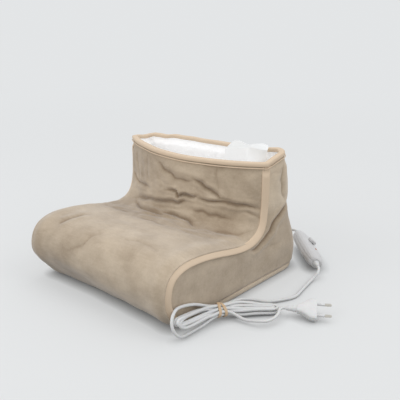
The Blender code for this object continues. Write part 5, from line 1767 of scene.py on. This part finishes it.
def plug_frame():
    heading = Matrix.Rotation(PLUG_HEADING, 4, "Z")
    return Matrix.Translation(PLUG_ROOT) @ heading @ Matrix.Rotation(PLUG_ROLL, 4, "X")


def cord_piece(name, points, nodes):
    """A round cord along points, as one curve."""
    curve = bpy.data.curves.new(name, "CURVE")
    curve.dimensions = "3D"
    curve.bevel_depth = CORD / 2
    curve.bevel_resolution = cord_settings().sides
    curve.use_fill_caps = True
    spline = curve.splines.new("POLY")
    spline.points.add(len(points) - 1)
    for slot, point in zip(spline.points, points):
        slot.co = (*point, 1)
    curve.materials.append(white_vinyl())
    thing = bpy.data.objects.new(name, curve)
    bpy.context.scene.collection.objects.link(thing)
    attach(thing, BOOT)
    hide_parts(*nodes)
    return thing


def joined(*runs):
    """One line of points through several runs, without doubled points."""
    points = [runs[0][0]]
    for run in runs:
        for point in run:
            if (point - points[-1]).length > 0.4 * MM:
                points.append(point)
    return points


def lead_cord():
    """The lead: out of the gland, round its spare coil behind the heel and on to the controller."""
    step = 3 * MM
    surface = back_point(GLAND_X / (HALF - corner_radius(FELT_Z + CORD / 2)), FELT_Z + CORD / 2, 0)
    mouth = Vector((
        GLAND_X, surface.y + CLEARANCE * 2 + GLAND_FLANGE_THICK + GLAND_LENGTH, FELT_Z + CORD / 2,
    ))
    coil, way_in, way_out = with_ends(coil_points(), CORD)
    axis = (CONTROL_FAR - CONTROL_NEAR).normalized()
    far_mouth = control_frame() @ Vector((CONTROL_LENGTH / 2 + RELIEF_LENGTH + CLEARANCE * 2, 0, 0))
    points = joined(
        smooth_route(mouth, Vector((0, 1, 0)), LEAD_OUT_ROUTE, coil[0], way_in, step), coil,
        smooth_route(coil[-1], way_out, LEAD_IN_ROUTE, far_mouth, -axis, step),
    )
    cord = cord_piece(
        "lead_cord", points, ("lead_cord_from_boot", "lead_cord_coil", "lead_cord_to_controller"),
    )


def mains_cord():
    """The mains cord: along the side, through the hank's loops and to the plug."""
    step = 3 * MM
    last = HANK_LOOPS - HANK_END_TURN
    count = int(LOOP_POINTS * (last - HANK_START_TURN))
    hank = [hank_point(blend(HANK_START_TURN, last, k / count)) for k in range(count + 1)]
    hank, way_in, way_out = with_ends(hank, CORD)
    axis = (CONTROL_FAR - CONTROL_NEAR).normalized()
    near_mouth = control_frame() @ Vector((-CONTROL_LENGTH / 2 - RELIEF_LENGTH - CLEARANCE * 2, 0, 0))
    plug = plug_frame()
    plug_mouth = plug @ Vector((-PLUG_RELIEF_LENGTH - CLEARANCE, 0, 0))
    heading = (plug.to_3x3() @ Vector((1, 0, 0))).normalized()
    points = joined(
        smooth_route(near_mouth, -axis, MAINS_ROUTE, hank[0], way_in, step), hank,
        smooth_route(hank[-1], way_out, TAIL_ROUTE, plug_mouth, heading, step),
    )
    cord = cord_piece("mains_cord", points, ("mains_cord_run", "mains_cord_hank", "mains_cord_tail"))
    band = rubber_band()


class FOOTWARMER_OT_front_cover(bpy.types.Operator):
    """Add the suede front cover"""
    bl_idname = "footwarmer.front_cover"
    bl_label = "Front Cover"

    def execute(self, context):
        front_cover()
        return {"FINISHED"}


class FOOTWARMER_OT_side_covers(bpy.types.Operator):
    """Add the two suede side covers"""
    bl_idname = "footwarmer.side_covers"
    bl_label = "Side Covers"

    def execute(self, context):
        side_cover(1, "right", SIDE_CREASES_RIGHT)
        side_cover(-1, "left", SIDE_CREASES_LEFT)
        return {"FINISHED"}


class FOOTWARMER_OT_back_cover(bpy.types.Operator):
    """Add the suede back cover and the sole's tray"""
    bl_idname = "footwarmer.back_cover"
    bl_label = "Back and Sole"

    def execute(self, context):
        back_cover()
        sole_cover()
        return {"FINISHED"}


class FOOTWARMER_OT_tapes(bpy.types.Operator):
    """Add the bias tapes on the side seams and the collar, and the piping"""
    bl_idname = "footwarmer.tapes"
    bl_label = "Tapes"

    def execute(self, context):
        side_tape(1, "right")
        side_tape(-1, "left")
        rim_tape()
        return {"FINISHED"}


class FOOTWARMER_OT_lining(bpy.types.Operator):
    """Add the plush lining and the blank label"""
    bl_idname = "footwarmer.lining"
    bl_label = "Lining"

    def execute(self, context):
        lining()
        care_label()
        return {"FINISHED"}


class FOOTWARMER_OT_cords(bpy.types.Operator):
    """Add the lead and the mains cord"""
    bl_idname = "footwarmer.cords"
    bl_label = "Cords"

    def execute(self, context):
        lead_cord()
        mains_cord()
        return {"FINISHED"}


class FOOTWARMER_OT_node_finishes(bpy.types.Operator):
    """Give the solids that stay in sight their finishes"""
    bl_idname = "footwarmer.node_finishes"
    bl_label = "Node Finishes"

    def execute(self, context):
        for name, look in NODE_FINISHES.items():
            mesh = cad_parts[name].data
            mesh.materials.clear()
            mesh.materials.append(look())
        return {"FINISHED"}


def backdrop_finish():
    """A pale matte floor that keeps the object's shadow and fades into the backdrop's colour far off."""
    made = bpy.data.materials.new("pale backdrop")
    made.use_nodes = True
    tree = made.node_tree
    shader = tree.nodes["Principled BSDF"]
    shader.inputs["Base Color"].default_value = rgba(studio().floor)
    # The floor's own glow lifts its shadows. Ambient occlusion cuts that glow next to the boot, which paints
    # a dark contact shadow there.
    near = add_node(tree, "ShaderNodeAmbientOcclusion", (("Distance", 0.016),))
    rays = add_node(tree, "ShaderNodeLightPath")
    seen = maths(tree, "ADD", (rays, "Is Camera Ray"), (rays, "Is Glossy Ray"))
    seen = maths(tree, "ADD", (seen, 0), (rays, "Is Transmission Ray"))
    lift = maths(tree, "MULTIPLY", (near, "AO"), studio().floor_lift)
    lift = maths(tree, "MULTIPLY", (lift, 0), (seen, 0))
    shader.inputs["Emission Color"].default_value = rgba(studio().backdrop)
    tree.links.new(lift.outputs[0], shader.inputs["Emission Strength"])
    shader.inputs["Roughness"].default_value = 0.9
    shader.inputs["Specular IOR Level"].default_value = 0.1
    place = add_node(tree, "ShaderNodeTexCoord")
    far = add_node(tree, "ShaderNodeVectorMath", ((0, (place, "Object")),), operation="LENGTH")
    share = add_node(tree, "ShaderNodeMapRange", (
        ("Value", (far, "Value")), ("From Min", 0.42), ("From Max", 1.5), ("To Min", 0.0), ("To Max", 1.0),
    ), interpolation_type="SMOOTHSTEP")
    glow = add_node(tree, "ShaderNodeEmission", (("Color", rgba(studio().backdrop)),))
    mixed = tree.nodes.new("ShaderNodeMixShader")
    tree.links.new(share.outputs["Result"], mixed.inputs["Fac"])
    tree.links.new(shader.outputs[0], mixed.inputs[1])
    tree.links.new(glow.outputs[0], mixed.inputs[2])
    tree.links.new(mixed.outputs[0], tree.nodes["Material Output"].inputs["Surface"])
    return made


def plain_floor():
    """The floor under the object."""
    bpy.ops.object.select_all(action="DESELECT")
    bpy.ops.mesh.primitive_plane_add(size=24, location=(0, 0, 0))
    floor = bpy.context.object
    floor.name = "studio_floor"
    floor.data.materials.append(backdrop_finish())


def area_light(name, place, target, size, power, colour):
    data = bpy.data.lights.new(name, "AREA")
    data.shape = "RECTANGLE"
    data.size, data.size_y = size
    data.energy = power
    data.color = colour
    light = bpy.data.objects.new(name, data)
    bpy.context.scene.collection.objects.link(light)
    light.location = place
    light.rotation_euler = (Vector(target) - Vector(place)).to_track_quat("-Z", "Y").to_euler()
    return light


# fitted to the boot's floor edges in the photograph: metres, degrees from +y towards -x, degrees down
CAMERA_PLACE = (0.7094, -0.7438, 0.49175)
CAMERA_HEADING = 40.885
CAMERA_PITCH = 20.045


def photo_camera():
    """The camera at the photograph's place, with its own frame."""
    data = bpy.data.cameras.new("camera")
    data.sensor_width = 36
    data.sensor_fit = "HORIZONTAL"
    data.lens = studio().lens
    camera = bpy.data.objects.new("camera", data)
    bpy.context.scene.collection.objects.link(camera)
    heading, pitch = math.radians(CAMERA_HEADING), math.radians(CAMERA_PITCH)
    camera.location = CAMERA_PLACE
    ahead = Vector((
        -math.sin(heading) * math.cos(pitch), math.cos(heading) * math.cos(pitch), -math.sin(pitch),
    ))
    camera.rotation_euler = ahead.to_track_quat("-Z", "Y").to_euler()
    bpy.context.scene.camera = camera


def pale_world():
    world = bpy.data.worlds.new("pale studio")
    bpy.context.scene.world = world
    world.use_nodes = True
    tree = world.node_tree
    tree.nodes.clear()
    out = tree.nodes.new("ShaderNodeOutputWorld")
    light = add_node(tree, "ShaderNodeBackground", (
        ("Color", (0.95, 0.97, 1.0, 1)), ("Strength", studio().sky_strength)))
    seen = add_node(tree, "ShaderNodeBackground", (("Color", rgba(studio().backdrop)), ("Strength", 1.0)))
    path = tree.nodes.new("ShaderNodeLightPath")
    either = maths(tree, "MAXIMUM", (path, "Is Camera Ray"), (path, "Is Glossy Ray"))
    either = maths(tree, "MAXIMUM", (either, 0), (path, "Is Transmission Ray"))
    mixed = tree.nodes.new("ShaderNodeMixShader")
    tree.links.new(either.outputs[0], mixed.inputs["Fac"])
    tree.links.new(light.outputs[0], mixed.inputs[1])
    tree.links.new(seen.outputs[0], mixed.inputs[2])
    tree.links.new(mixed.outputs[0], out.inputs["Surface"])


class FOOTWARMER_OT_studio(bpy.types.Operator):
    """Add the floor, the lights, the world and the camera"""
    bl_idname = "footwarmer.studio"
    bl_label = "Studio"

    def execute(self, context):
        photo_camera()
        plain_floor()
        area_light(
            "key light", (1.7, 0.5, 1.9), (0, 0, 0.05), (1.5, 1.5), studio().key_power, (1.0, 0.995, 0.985),
        )
        area_light(
            "fill light", (-1.0, -1.7, 1.3), (0, 0, 0.05), (1.6, 1.2), studio().fill_power, (0.98, 0.99, 1.0),
        )
        area_light(
            "top light", (-0.1, 0.1, 2.2), (0, 0.05, 0.1), (1.4, 1.4), studio().top_power, (1.0, 1.0, 1.0),
        )
        pale_world()
        context.scene.view_settings.view_transform = "Standard"
        return {"FINISHED"}


class FOOTWARMER_PT_panel(bpy.types.Panel):
    """Lists the pieces and their settings"""
    bl_label = "Foot Warmer"
    bl_idname = "FOOTWARMER_PT_panel"
    bl_space_type = "VIEW_3D"
    bl_region_type = "UI"
    bl_category = "Foot Warmer"

    def draw(self, context):
        layout = self.layout
        for operator in OPERATORS:
            layout.operator(operator.bl_idname)
        for group in (boot_settings(), cord_settings(), finishes(), studio()):
            box = layout.box()
            for name in group.bl_rna.properties.keys():
                if name not in {"rna_type", "name"}:
                    box.prop(group, name)


OPERATORS = (
    FOOTWARMER_OT_studio, FOOTWARMER_OT_cords, FOOTWARMER_OT_front_cover, FOOTWARMER_OT_side_covers,
    FOOTWARMER_OT_back_cover, FOOTWARMER_OT_tapes, FOOTWARMER_OT_lining, FOOTWARMER_OT_node_finishes,
)
SETTINGS = {
    "foot_warmer_boot": BootSettings,
    "foot_warmer_cord": CordSettings,
    "foot_warmer_finish": FinishSettings,
    "foot_warmer_studio": StudioSettings,
}


def register():
    for kind in (*SETTINGS.values(), *OPERATORS, FOOTWARMER_PT_panel):
        bpy.utils.register_class(kind)
    for name, kind in SETTINGS.items():
        setattr(bpy.types.Scene, name, PointerProperty(type=kind))


def unregister():
    for name in SETTINGS:
        delattr(bpy.types.Scene, name)
    for kind in reversed((*SETTINGS.values(), *OPERATORS, FOOTWARMER_PT_panel)):
        bpy.utils.unregister_class(kind)


def main():
    register()
    for operator in OPERATORS:
        group, action = operator.bl_idname.split(".")
        getattr(getattr(bpy.ops, group), action)()
    bpy.context.view_layer.update()


if __name__ == "__main__":
    main()
